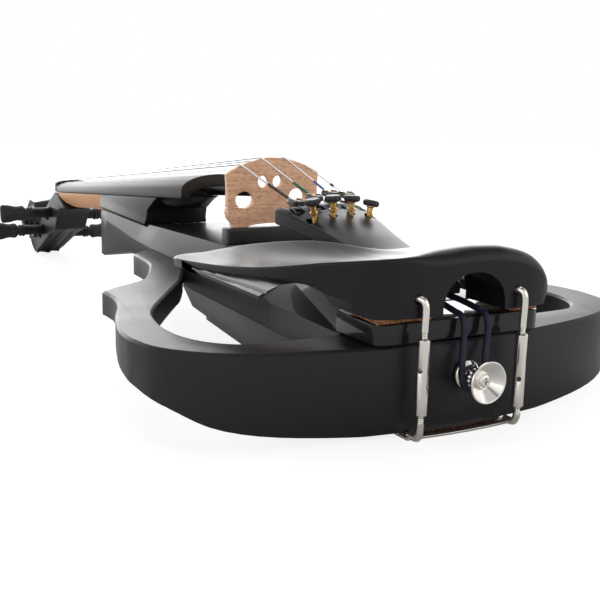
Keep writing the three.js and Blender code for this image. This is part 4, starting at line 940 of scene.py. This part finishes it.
# The screw's cross: half length and half width of an arm, its depth, and how it widens to its mouth
CROSS = (1.35, 0.34, 0.9)
CROSS_FLARE = 1.1, 0.6
SQUARE = [(-1, -1), (1, -1), (1, 1), (-1, 1)]
BOSS = [(1.7, 9.5), (2.75, 9.5, 0.2), (2.75, 10.1, 0.3), (1.7, 10.2)]


def fine(rows, longest):
    """An outline with points put in wherever two are further apart than that."""
    points = []
    for here, there in zip(rows, rows[1:]):
        parts = max(int((there - here).length / longest), 1)
        points += [here.lerp(there, i / parts) for i in range(parts)]
    return [*points, rows[-1]]


def end_button():
    section = fine(eased(BUTTON_SECTION, 6), 0.25)
    cone = RIDGES.on(turned(section, 128, joined=True), Material=NICKEL, **BUTTON_RIBS)
    boss = turned(eased(BOSS, 4), 64, joined=True)
    return stood(gathered([cone, boss]), (BUTTON[0], 0, BUTTON[1]), (0, -1, 0))


def cross_screw():
    x, y, z = BUTTON[0], SCREW_FRONT, BUTTON[1]
    blank = turned(eased(SCREW_SECTION, 6), 48, (x, y, z), (0, 1, 0))
    arm, slot, depth = CROSS
    bars = []
    for wide, tall in ((arm, slot), (slot, arm)):
        ends = zip((-1, depth), CROSS_FLARE)
        bars.append(skin([[(x + u * wide * s, y + d, z + v * tall * s) for u, v in SQUARE] for d, s in ends]))
    return carved(blank, bars)


# Tail gut: from the tailpiece's holes over the cap and round the button's stem
GUT_RADIUS = 1.15
GUT_HOLES, GUT_SPREAD = (-3, 5.2), (-2.2, 8.2)
GUT_RUN = [(22, 50, 0), (22, 46.4, 0), (21.3, 44.8, 0), (18.5, 43.6, 0), (12, 42.4, 0.5), (3.4, 40.6, 1),
    (0.3, 40, 1), (-1.5, 37.5, 1), (-1.9, 33, 1)]
GUT_RING = 4.85
GUT_LOOP_Y = -4.6
GUT_LOOP = (200, 225, 250, 270, 290, 315, 340)
# Where a strand is between the cap and the loop: its share of the way across, Y and z
GUT_FALL = (0.7, -3.4, 26)


def tail_cord():
    def strand(hole, over, out):
        points = [Vector((hole + (over - hole) * share, y, z)) for y, z, share in GUT_RUN]
        fall = Vector((over + (out - over) * GUT_FALL[0], *GUT_FALL[1:]))
        return [*points, fall, Vector((out, GUT_LOOP_Y, BUTTON[1]))]

    x, z = BUTTON
    angles = [math.radians(a) for a in GUT_LOOP]
    loop = [Vector((x + GUT_RING * math.cos(a), GUT_LOOP_Y, z + GUT_RING * math.sin(a))) for a in angles]
    first = strand(GUT_HOLES[0], GUT_SPREAD[0], x - GUT_RING)
    last = strand(GUT_HOLES[1], GUT_SPREAD[1], x + GUT_RING)
    return swept(route([*first, *loop, *reversed(last)], 10), GUT_RADIUS, 24)


# Strings: radius, X on the nut, X and notch z on the bridge, ball end
STRINGS = {
    "g": (0.42, -8.1, -16.9, 80.8, (-15.2, 98.4, 69.4)), "d": (0.38, -2.7, -6.2, 83.84, (-5.4, 99.8, 71)),
    "a": (0.34, 2.7, 6.2, 83.8, (5, 104.2, 71.9)), "e": (0.2, 8.1, 16.9, 80.5, (15, 107, 70.8)),
}
# Pegs: Y and z of the axis, first string lane; lean of the grip
PEGS = {"g": (500, 20.4, -3.4, 78), "d": (528, 3.5, -2.2, 78), "a": (541, -1.5, 1.6, 66),
    "e": (512, 16.5, 3.6, 66)}
PEG_SHAFT = 3.9
BRIDGE_Y = 148.2
NUT_END, NUT_HALF, NUT_CROWN, NUT_TOP = 484.2, 12, 2.53, 43.5
SEAT = 0.3
TURNS = 2.25
TURN_GAP = 0.45
TURN_STEPS = 28
# Shares of its way at which a string bends: past the nut and before it, before the bridge and past it
NUT_BEND, BRIDGE_BEND = (0.03, 0.006), (0.006, 0.04)
# Silk: its thickness, and the Y where it begins behind the bridge; its colour is the string's own
SILK = {"g": (0.24, 121), "d": (0.24, 117), "a": (0.16, 118.5), "e": (0.12, 109)}
SILK_ON_PEG = 0.08
# Shares of the way to the peg at which the silk's last points lie and the wire ends; and the same to the ball
PEG_SILK, PEG_WIRE = (0.25, 0.12), 0.2
BALL_WIRE, BALL_SILK = 0.05, (0.03, 0.06)
# The plain string's sleeve: radius of its body and of its ends, and where it runs; a share of it is each end
E_SLEEVE, E_SLEEVE_END, E_SLEEVE_RUN, E_SLEEVE_TAPER = 0.55, 0.3, (118.4, 121), 0.1
BALL = [(0.5, -1.3), (1.2, -1.3, 0.2), (1.5, -0.8, 0.3), (1.15, 0, 0.6), (1.5, 0.8, 0.3), (1.2, 1.3, 0.2),
    (0.5, 1.3)]


def nut_level(x):
    return NUT_TOP + NUT_CROWN * math.sqrt(1 - (x / NUT_HALF) ** 2)


def string_route(name):
    """Points of the string on its peg, from its end to where it leaves, and then its bends up to the ball."""
    radius, nut_x, bridge_x, notch, ball = STRINGS[name]
    peg_y, peg_z, lane, _ = PEGS[name]
    side = math.copysign(1, lane)
    wrap = PEG_SHAFT + radius + SEAT
    on_nut = Vector((nut_x, NUT_END + SEAT, nut_level(nut_x) + radius + SEAT))
    stop = Vector((bridge_x, BRIDGE_Y, notch + radius + SEAT * 2))
    rise, run = on_nut.z - peg_z, on_nut.y - peg_y
    touch = math.atan2(rise, run) - math.acos(wrap / math.hypot(rise, run))
    coil = []
    for step in range(round(TURNS * TURN_STEPS) + 1):
        angle = touch - math.tau * step / TURN_STEPS
        x = lane + side * step * (2 * radius + TURN_GAP) / TURN_STEPS
        coil.append(Vector((x, peg_y + wrap * math.cos(angle), peg_z + wrap * math.sin(angle))))
    return list(reversed(coil)), on_nut, stop, Vector(ball)


def string_forms(name):
    """The bare or wound wire, the silk at both of its ends, and the ball."""
    radius = STRINGS[name][0]
    coil, on_nut, stop, ball = string_route(name)
    thick, silk_y = SILK[name]
    start = stop.lerp(ball, (silk_y - stop.y) / (ball.y - stop.y))
    to_peg = [on_nut.lerp(coil[-1], share) for share in (PEG_WIRE, NUT_BEND[0], *PEG_SILK)]
    over = [stop.lerp(on_nut, BRIDGE_BEND[0]), stop, stop.lerp(ball, BRIDGE_BEND[1])]
    bends = [*to_peg[:2], on_nut.lerp(stop, NUT_BEND[1]), *over, start.lerp(ball, BALL_WIRE)]
    wire = swept(bends, radius, 12)
    tail = [start, *[start.lerp(ball, share) for share in BALL_SILK], ball]
    silk = [swept([*coil, *to_peg[2:]], radius + SILK_ON_PEG, 12),
        swept(tail, [radius, *[radius + thick] * 3], 16)]
    if name == "e":
        line = (ball - stop).normalized()
        near, far = (stop + line * ((y - stop.y) / line.y) for y in E_SLEEVE_RUN)
        body = [near.lerp(far, share) for share in (E_SLEEVE_TAPER, 1 - E_SLEEVE_TAPER)]
        radii = [E_SLEEVE_END, E_SLEEVE, E_SLEEVE, E_SLEEVE_END]
        silk.append(swept([near, *body, far], radii, 20))
    return wire, gathered(silk), turned(eased(BALL, 4), 40, ball, (1, 0, 0), joined=True)


# Bridge
BRIDGE_FOOT, BRIDGE_TOP = (52.9, 4.4), (86.9, 1.5)
BRIDGE_SIDE = [(14.6, 52.9, 0.3), (20.4, 52.9, 0.5), (21, 54.9, 1.2), (23.2, 57.4, 1.4), (23.7, 59.6, 0.9),
    (23.4, 61.9, 0.4), (23.3, 66), (23.35, 70), (23.6, 74), (24, 77.5, 1)]
BRIDGE_CROWN = [(24, 77.5), (16.9, 81.1), (6.2, 84.2), (0, 84.7), (-6.2, 84.2), (-16.9, 81.1), (-24, 77.5)]
BRIDGE_HOLES = [(-14.8, 65.5, 4.8, 3.95, 0), (12.6, 66.3, 4.5, 3.95, 0), (-5.2, 73.6, 2.8, 2.9, 38),
    (2.3, 73.7, 2.6, 2.85, -38)]
# The side slits: how far out they begin, and their lower and upper edge
BRIDGE_SLIT = (13.2, 61.75, 62.2)
# Half width and rise of the hollow between the feet
BRIDGE_ARCH = (13.4, 1.5)
FAR_OUT = 30


def bridge_forms():
    foot_z, foot = BRIDGE_FOOT
    top_z, top = BRIDGE_TOP
    right = [Vector(p) for p in eased([(BRIDGE_ARCH[0], 54.1), *BRIDGE_SIDE, (20, 79.5)], 5)[1:-1]]
    crown = route(BRIDGE_CROWN, 6)[1:-1]
    left = [Vector((-x, z)) for x, z in reversed(right)]
    arch = oval((0, foot_z), BRIDGE_ARCH, 15, math.pi, -math.pi)
    blank = slab([*right, *crown, *left, *arch], "Y", -0.5, 0.5)
    tools = []
    for x, z, wide, tall, tilt in BRIDGE_HOLES:
        tools.append(slab(tilted(oval((0, 0), (wide, tall), 48), (x, z), tilt), "Y", -1, 1))
    end, low, high = BRIDGE_SLIT
    middle, half = (low + high) / 2, (high - low) / 2
    for side in (-1, 1):
        mouth = oval((side * end, middle), (half, half), 9, math.pi / 2, side * math.pi)
        tools.append(slab([*mouth, (side * FAR_OUT, low), (side * FAR_OUT, high)], "Y", -1, 1))
    for radius, _, x, z, _ in STRINGS.values():
        middle = z + radius + SEAT * 2
        tools.append(rod((x, -1, middle), (x, 1, middle), radius + SEAT, 20))
    body = carved(blank, tools)
    for vertex in body.vertices:
        share = (vertex.co.z - foot_z) / (top_z - foot_z)
        vertex.co.y = BRIDGE_Y + vertex.co.y * (foot + (top - foot) * share)
    return softened(outward(body), 0.22, 3)


# Tailpiece stations: Y, half width, bottom edge z, side top z, crest z
TAIL = [(16, 9.4, 43.6, 46.4, 50.2), (18.5, 10.6, 44.2, 47.4, 51.4), (30, 11.6, 46, 50.2, 53.6),
    (45, 12.8, 49.2, 53, 55.8), (64, 14.6, 53.2, 57.2, 60.4), (86, 18, 57, 62.2, 65.7),
    (101, 20, 59, 64.8, 68.4), (105.8, 20.3, 59.8, 65.2, 68.4), (107, 19.6, 60.6, 64.8, 67.6)]
# The hollow inside: its wall, how far under the shell it starts and how much less it rises, and its front end
TAIL_INSET = 2.4
TAIL_DROP, TAIL_THIN = 4.2, 0.2
HOLLOW_END = 104
TAIL_VOXEL = 0.42
# Tuners: place of the knob's underside, lean of the screw; pin z of the lever
TUNERS = {"g": ((-14.6, 84.1, 70.8), -10, 64.8), "d": ((-5.2, 83.6, 72), -3, 65.6),
    "a": ((5.2, 85.6, 72), 3, 65.6), "e": ((14.8, 85.3, 70.4), 12, 64.8)}
# A tuner's bore: its radius, and its ends along the axis from the knob's underside
TUNER_BORE, TUNER_RUN = 1.65, (-18, 2)
# How far each knob stands down its own axis from the solid's
KNOB_DROP = {"g": 0.9, "d": 0.9, "a": 1.4, "e": 2.1}
LEVER_Y = 95.6
# Half width of each lever's room, and of the lower room of those beyond EDGE_X, beside the shell's wall
LEVER_ROOM, EDGE_ROOM, EDGE_X = 1.9, 1.2, 10
# Where those rooms begin before the lever's pin and the knob, where they end, and their bottoms and tops
ROOM_BEFORE, ROOM_BEHIND, ROOM_END = 4.2, 2.3, 110
ROOM_HEIGHT, LOWER_HEIGHT = (55, 74), (55, 63.6)
PIN, PIN_HALF = 1.2, 3.5
# The gut's holes: their radius, their Y, and their bottom and top
GUT_HOLE, GUT_HOLE_Y, GUT_HOLE_RUN = 1.8, 22, (40, 74)
KNOB_DISC = [(0, -0.2), (2.7, -0.2, 0.2), (3.5, 0.5, 0.4), (3.5, 1.7, 0.4), (2.9, 2.4, 0.35), (0, 2.3)]
KNOB_SCALLOPS = {"Count": 11.0, "Lead": 0.0, "Depth": 0.34, "Low": -0.4, "High": 2.8, "Fade": 0.2, "Rim": 3.5}
TUNER_SECTION = [(0, -10.2), (0.7, -10.2, 0.2), (1.2, -9.6, 0.2), (1.2, -4.1), (1.75, -3.9, 0.15),
    (1.75, -3.1, 0.15), (1.25, -2.8), (1.25, -0.9), (1.7, -0.6, 0.2), (1.7, -0.25), (0, -0.25)]
# The section's points below this one are the screw's tip, which stays where it is when the knob goes down
TIP_BELOW = -9
TUNER_THREAD = {"Count": 1.0, "Lead": 1 / 0.6, "Depth": 0.16, "Low": -9.6, "High": -4.3, "Fade": 1.4,
    "Rim": 1.1}


def tuner_axis(name):
    lean = math.radians(TUNERS[name][1])
    return Vector((math.sin(lean), 0, math.cos(lean)))


def tail_shell():
    def ring(y, half, low, side, crest):
        arc = oval((0, side), (half, crest - side), 49, 0, math.pi)
        return [(x, y, z) for x, z in [(half, low), *arc, (-half, low)]]

    def hollow(y, half, low, side, crest):
        spring = max(side - TAIL_DROP, low)
        front = min(y, TAIL[-1][0] - TAIL_INSET)
        return ring(front, half - TAIL_INSET, low - 2, spring, spring + crest - side - TAIL_THIN)

    outer = skin([ring(*row) for row in between(TAIL, 6)])
    tools = [skin([hollow(*row) for row in between(TAIL[2:-1], 4) if row[0] < HOLLOW_END])]
    for name, (place, _, pin) in TUNERS.items():
        x = STRINGS[name][4][0]
        axis = tuner_axis(name)
        room, lower = LEVER_ROOM, EDGE_ROOM if abs(x) > EDGE_X else LEVER_ROOM
        tools += [rod(*[Vector(place) + axis * end for end in TUNER_RUN], TUNER_BORE),
            brick((x - room, x + room), (LEVER_Y - ROOM_BEFORE, ROOM_END), ROOM_HEIGHT),
            brick((x - lower, x + lower), (place[1] - ROOM_BEHIND, LEVER_Y), LOWER_HEIGHT),
            rod((x - PIN_HALF, LEVER_Y, pin), (x + PIN_HALF, LEVER_Y, pin), PIN)]
    tools += [rod(*[(x, GUT_HOLE_Y, z) for z in GUT_HOLE_RUN], GUT_HOLE) for x in GUT_HOLES]
    return evened(carved(outer, tools), TAIL_VOXEL, 3)


def tuner_forms(name):
    drop = KNOB_DROP[name]
    axis = tuner_axis(name)
    start = Vector(TUNERS[name][0]) - axis * drop
    section = [(r, h + drop if h < TIP_BELOW else h, *ease) for r, h, *ease in TUNER_SECTION]
    disc = RIDGES.on(turned(fine(eased(KNOB_DISC, 5), 0.3), 132), Material=PLASTIC, **KNOB_SCALLOPS)
    screw = RIDGES.on(turned(fine(eased(section, 4), 0.1), 32), Material=BRASS, **TUNER_THREAD)
    return [stood(mesh, start, axis) for mesh in (disc, screw)]


# Head: front and back edges of the pegbox seen from the side, Y and z; its half width along Y
HEAD_FRONT = [(484.6, 37.6), (486.4, 37.2), (500, 31), (528, 15.4), (546, 4.6), (552, 0)]
HEAD_BACK = [(556, -18.5), (541, -12.6), (520, -3.6), (503, 3.6), (494, 6.2), (487.5, 8.6), (483.5, 14),
    (474, 24.6), (458, 27.4)]
HEAD_HALF = [(454, 12.1), (479, 12.3), (562, 9.6)]
NECK_FACE = (479.3, 37.6)
PEGBOX = [(489, 48), (489, 17.5), (500, 12.6), (528, -2.4), (543, -8.4), (547, -3.4), (545, 30)]
PEGBOX_HALF = [(489, 7.6), (545, 5.8)]
SCROLL = (562, 6)
SCROLL_TURN = {"Outer": 27.7, "Inner": 3.2, "Turns": 3.0, "Start": math.radians(-112), "Half": 9.0,
    "Rise": 10.2, "Flute": 1.3, "Eye": 4.6}
EYE = [(0, -19.4), (3.2, -19.2, 1), (4.9, -18.2, 1), (4.9, 18.2, 1), (3.2, 19.2, 1), (0, 19.4)]
HEAD_VOXEL = 0.48
# The two flutes along the head's back: radius, depth and X; the parts of the scroll's first turn that they
# take, and the Y that they reach
FLUTE_RADIUS, FLUTE_DEPTH, FLUTE_X = 4.6, 0.7, 4.9
FLUTE_CURL, FLUTE_Y = (2, 34, 40), 545
BORE_HALF = 20
# Where the scroll's grid stands within each of its turns, and how much further than once round it goes
SCROLL_SHARES = (0, 0.03, 0.1, 0.2, 0.32, 0.44, 0.56, 0.68, 0.8, 0.9, 0.97, 0.998)
SCROLL_STEPS, SCROLL_LAP = 90, 1.04


def scroll_form():
    """The grid that the scroll is wound from: turns inwards, once round, and both of its sides."""
    inwards = [turn + share for turn in range(3) for share in SCROLL_SHARES]
    once = [i / SCROLL_STEPS * SCROLL_LAP for i in range(SCROLL_STEPS + 1)]
    rings = [[(coil, t, 1) for t in once] + [(coil, t, -1) for t in reversed(once)] for coil in inwards]
    volute = SPIRAL.on(skin(rings), **SCROLL_TURN)
    volute.transform(Matrix.Translation((0, *SCROLL)))
    return gathered([outward(volute), turned(eased(EYE, 5), 48, (0, *SCROLL), (1, 0, 0))])


def head_form():
    edge = [*route(HEAD_FRONT, 5), *route(HEAD_BACK, 5), Vector(NECK_FACE)]
    cheeks = skin([[(side * level(HEAD_HALF, y), y, z) for y, z in edge] for side in (-1, 1)])
    slot = skin([[(side * level(PEGBOX_HALF, y), y, z) for y, z in PEGBOX] for side in (-1, 1)])
    bores = [rod((-BORE_HALF, y, z), (BORE_HALF, y, z), PEG_SHAFT + SEAT) for y, z, _, _ in PEGS.values()]
    start, outer = SCROLL_TURN["Start"], SCROLL_TURN["Outer"]
    shrink = (SCROLL_TURN["Inner"] / outer) ** (1 / SCROLL_TURN["Turns"])
    away = FLUTE_RADIUS - FLUTE_DEPTH
    first, last, parts = FLUTE_CURL
    path = []
    for i in reversed(range(first, last)):
        r = outer * shrink ** (i / parts) + away
        angle = start + i / parts * math.tau
        path.append(Vector((0, SCROLL[0] + r * math.cos(angle), SCROLL[1] + r * math.sin(angle))))
    back = route(HEAD_BACK[:6], 4)
    for here, there in zip(back, back[1:]):
        run = (there - here).normalized()
        spot = Vector((0, here.x - run.y * away, here.y + run.x * away))
        if spot.y < FLUTE_Y:
            path.append(spot)
    flutes = [swept([p + Vector((side * FLUTE_X, 0, 0)) for p in path], FLUTE_RADIUS, 24) for side in (-1, 1)]
    body = evened(gathered([cheeks, scroll_form()]), HEAD_VOXEL, 0)
    return evened(carved(carved(body, flutes), [slot, *bores]), HEAD_VOXEL, 3)


# Pegs: points of the turned stem past the cheek and of its collar; sections of the grip
PEG_TIP = [(0, 2.7), (2.3, 2.2, 1), (3.2, 0.9, 0.8)]
PEG_NECK = 3.45
PEG_COLLAR = [(PEG_SHAFT, 25.4), (4.1, 25.8, 0.2), (4.9, 26.3, 0.5), (4.9, 27.3, 0.5), (4.1, 27.8, 0.3),
    (4.2, 28.4, 0.2), (4.7, 28.8, 0.4), (4.6, 29.8, 0.4), (3.7, 30.4, 0.4), (3.8, 31.6), (0, 31.6)]
PEG_GRIP = [(31, 3.4, 3.4), (31.8, 4.6, 3.9), (33.5, 5.8, 4), (38, 5.4, 3.2), (44, 6.6, 2.9),
    (48.2, 6.9, 2.6), (49.4, 6.2, 2.1), (50, 4.8, 1.4)]


def peg_form(name):
    y, z, lane, lean = PEGS[name]
    side = math.copysign(1, lane)
    cheek = level(HEAD_HALF, y)
    stem = [(r, -cheek - past, *ease) for r, past, *ease in PEG_TIP]
    body = turned(eased([*stem, (PEG_NECK, -cheek), *PEG_COLLAR], 5), 48, (0, y, z), (side, 0, 0))
    grip = skin([[(side * x, *place) for place in tilted(oval((0, 0), (wide, thin), 48), (y, z), lean)]
        for x, wide, thin in between(PEG_GRIP, 6)])
    return gathered([body, grip])


# Control knobs on the housing's side: Y of each; radius, distance out, rounding
CONTROLS = {"volume": 104, "tone": 121}
CONTROL_SIDE = [(25.9, 35.6), (153.2, 31.1)]
CONTROL_Z = 14
CONTROL_SECTION = [(0, -3), (1.8, -3), (1.8, 1.2), (5.2, 1.2, 0.3), (5.6, 1.9, 0.3), (5.6, 7.6, 0.6),
    (4.6, 9.1, 0.9), (0, 9.2)]
CONTROL_KNURL = {"Count": 36.0, "Lead": 0.0, "Depth": 0.28, "Low": 2.1, "High": 7.8, "Fade": 0.3, "Rim": 5.5}
# The mark cut into a knob's face: its half width, its start and end above the axis, and its depth
MARK = (0.4, 1.2, 7, 0.5)


def control_knob(y):
    x = level(CONTROL_SIDE, y)
    blank = RIDGES.on(turned(fine(eased(CONTROL_SECTION, 5), 0.4), 216), Material=PLASTIC, **CONTROL_KNURL)
    blank = stood(blank, (x, y, CONTROL_Z), (1, 0, 0))
    half, start, end, depth = MARK
    low, high, face = CONTROL_Z + start, CONTROL_Z + end, x + CONTROL_SECTION[-1][1]
    outline = [(y - half, low), (y + half, low), (y + half, high), (y - half, high)]
    return carved(blank, [slab(outline, "X", face - depth, face + 2)])


# Forks of the levers that hold the ball ends: half width of the gap, thickness of a prong, the back's
# overlap. Profiles along Y and z from the ball's middle
FORK_GAP, FORK_THICK, FORK_LAP = 1.5, 1.15, 0.3
FORK_SIDE = [(-4.6, -1.2), (-4.2, 0.6, 0.6), (-1.6, 1.7, 1), (1.2, 1.7, 0.8), (2.3, 0.5, 0.5),
    (2.1, -0.6, 0.4), (0.9, -1.0), (-1.4, -1.1)]
FORK_BACK = [(-4.6, -1.3), (-4.2, 0.7, 0.5), (-2.4, 1.2, 0.4), (-2.2, -1.2)]


def fork_form(name):
    x, y, z = STRINGS[name][4]
    side, back = ([(y + u, z + v) for u, v in eased(rows, 4)] for rows in (FORK_SIDE, FORK_BACK))
    gap, outer, lap = FORK_GAP, FORK_GAP + FORK_THICK, FORK_GAP + FORK_LAP
    prongs = [slab(side, "X", x - outer, x - gap), slab(side, "X", x + gap, x + outer),
        slab(back, "X", x - lap, x + lap)]
    return gathered([softened(prong, 0.2, 2) for prong in prongs])


REST_SHARP, PEG_SHARP = math.radians(40), math.radians(50)


def lay_pieces():
    laid(chinrest_form(), "chinrest_body", ROOT, ["chinrest"], REST_LACQUER, REST_SHARP)
    for leg, (x, low, high) in LEGS.items():
        laid(clamp_hook(x, high), f"hook_{leg}_rod", ROOT, [f"clamp_hook_{leg}"], NICKEL)
        barrel = f"clamp_barrel_{leg}"
        laid(clamp_barrel(leg, x, low, high), f"barrel_{leg}_sleeve", barrel, [barrel], NICKEL)
    laid(clamp_foot(), "clamp_foot_wire_and_plate", ROOT, ["clamp_foot"], NICKEL)
    laid(strip(**TAIL_CORK), "tail_cork_strip", ROOT, ["cork_pad_tail"], DARK_CORK)
    laid(end_button(), "end_button_cone", ROOT, ["end_button"], POLISHED)
    laid(cross_screw(), "button_cross_screw", ROOT, ["button_screw"], NICKEL)
    laid(tail_cord(), "tail_gut_cord", ROOT, ["tail_gut"], GUT)
    for name in STRINGS:
        wire, silk, ball = string_forms(name)
        steel = PLAIN_WIRE if name == "e" else STEEL
        laid(wire, f"string_{name}_wire", ROOT, [f"string_{name}"], steel)
        laid(silk, f"string_{name}_silk", ROOT, [], SILKS[name])
        laid(ball, f"string_{name}_ball", ROOT, [], BRASS)
        disc, screw = tuner_forms(name)
        tuner, peg = f"tuner_{name}", f"peg_{name}"
        laid(fork_form(name), f"lever_{name}_fork", f"lever_{name}", [], GLOSS)
        laid(disc, f"{tuner}_disc", tuner, [f"tuner_knob_{name}"], PLASTIC)
        laid(screw, f"{tuner}_thread", tuner, [f"tuner_screw_{name}"], BRASS)
        laid(peg_form(name), f"{peg}_carved", peg, [peg], EBONY, PEG_SHARP)
    laid(bridge_forms(), "bridge_carved", ROOT, ["bridge"], BRIDGE)
    laid(tail_shell(), "tailpiece_shell", ROOT, ["tailpiece"], TAIL_SATIN, SMOOTH)
    laid(head_form(), "pegbox_and_scroll", ROOT, ["head"], SATIN, SMOOTH)
    for name, y in CONTROLS.items():
        knob = f"{name}_knob"
        laid(control_knob(y), f"{knob}_knurled", knob, [knob], PLASTIC)


lay_pieces()


# How each CAD node that stays in view is finished: its material, the width in millimetres of its broken edges
DRESS = {
    "body_frame": (SATIN, 0.5), "centre_block": (HATCHED, 0.4), "electronics_housing": (HOUSING, 0.5),
    "battery_door": (PLASTIC, 0.25), "battery": (JACKET, 0.4), "circuit_board": (LAMINATE, 0.1),
    "output_jack": (NICKEL, 0.2), "headphone_jack": (NICKEL, 0.2), "volume_potentiometer": (NICKEL, 0.2),
    "tone_potentiometer": (NICKEL, 0.2), "neck_heel": (SATIN, 0.5), "neck": (MAPLE, 0.3), "nut": (EBONY, 0.2),
    "fingerboard": (EBONY, 0.4), "pickup_bar": (PLASTIC, 0.5), "cork_pad_bass": (CORK, 0.2),
    "cork_pad_treble": (CORK, 0.2),
}
for name in STRINGS:
    DRESS[f"tuner_lever_{name}"] = (GLOSS, 0.2)
WELD = 0.004 * MM
FLAT = math.radians(0.4)


def dress(name):
    """A CAD node keeps its own mesh: modifiers weld it, break its sharp edges and smooth its shading."""
    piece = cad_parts[name]
    material, edge = DRESS[name]
    piece.data.materials.clear()
    piece.data.materials.append(material)
    flat = {"decimate_type": "DISSOLVE", "angle_limit": FLAT}
    work_on(piece, ("WELD", {"merge_threshold": WELD}), ("DECIMATE", flat), broken_edges(edge * MM, 3))
    shade(piece, SHARP)


for name in DRESS:
    dress(name)


# Studio
FLOOR_HALF = 6
LAMPS = [("overhead", (0.1, 0.3, 1.5), (1.6, 1.2), 14), ("left", (-1.8, -1, 1.2), (3, 2.4), 11.5),
    ("right", (1.3, -1.7, 1.1), (3, 2.4), 10)]
PAPER_TONE = 0.9
BOUNCE = 0.62
PAPER_GLOW = 1.18
PAPER_SHARE = 0.7
# The paper far behind, as the lacquer sees it: its glow, and the Y in metres over which that comes in
FAR_GLOW, FAR_PAPER = 3, (0.5, 1.3)
# The light all round, and what a band above the horizon adds near and far; the z over which that fades, and
# the y over which near turns into far
WORLD_ALL, WORLD_NEAR, WORLD_FAR = 0.14, 0.8, 4.8
BAND = (0.42, 0.68)
FAR_SIDE = (-0.1, 0.7)
# The far band is strongest about one x, and fades to both sides of it until this share is left
BAND_MIDDLE, BAND_FADE, SIDE_SHARE = 0.2, (0.27, 0.62), 0.2


def studio_floor():
    data = bpy.data.meshes.new("floor")
    data.from_pydata([(FLOOR_HALF * u, FLOOR_HALF * v, 0) for u, v in SQUARE], [], [(0, 1, 2, 3)])
    floor = placed("floor", data)
    finish = Finish("white paper", {"Roughness": 0.9})
    seen = finish.node("ShaderNodeLightPath", {}, {}, "Is Camera Ray")
    finish.feed("Base Color", finish.mix(seen, [BOUNCE] * 3, [PAPER_TONE] * 3))
    _, y, _ = finish.split(finish.millimetres())
    start, full = FAR_PAPER
    behind = finish.clamped((y * MM - start) / (full - start))
    glow = finish.node("ShaderNodeEmission", {}, {"Strength": seen * (PAPER_GLOW - FAR_GLOW) + FAR_GLOW})
    shown = seen * PAPER_SHARE + (1 - seen) * behind
    share = finish.node("ShaderNodeMixShader", {}, [shown, Socket(finish, finish.shader.outputs[0]), glow])
    finish.tree.links.new(share.plug, finish.tree.nodes["Material Output"].inputs[0])
    data.materials.append(finish.material)


def studio_world():
    world = bpy.data.worlds.new("studio")
    bpy.context.scene.world = world
    world.use_nodes = True
    sky = Nodes(world.node_tree)
    rays = ("Is Camera Ray", "Is Transmission Ray")
    seen = sky.math("MAXIMUM", *[sky.node("ShaderNodeLightPath", {}, {}, ray) for ray in rays])
    x, y, z = sky.split(sky.node("ShaderNodeTexCoord", {}, {}, "Generated"))
    far = sky.step(y, *FAR_SIDE, 0.0, 1.0)
    low = sky.step(z, *BAND, 1.0, 0.0)
    across = sky.step(abs(x - BAND_MIDDLE), *BAND_FADE, 1.0, SIDE_SHARE)
    lit = far * across * low * WORLD_FAR + (1 - far) * low * WORLD_NEAR + WORLD_ALL
    back = world.node_tree.nodes["Background"]
    back.inputs["Color"].default_value = (1, 1, 1, 1)
    sky.tree.links.new((seen + (1 - seen) * lit).plug, back.inputs["Strength"])


def studio_lamps():
    for name, at, size, power in LAMPS:
        data = bpy.data.lights.new(name, "AREA")
        data.shape = "RECTANGLE"
        data.size, data.size_y = size
        data.energy = power
        lamp = placed(name, data)
        lamp.location = at
        lamp.rotation_euler = (-Vector(at)).to_track_quat("-Z", "Y").to_euler()


studio_floor()
studio_world()
studio_lamps()
bpy.context.scene.view_settings.view_transform = "Standard"
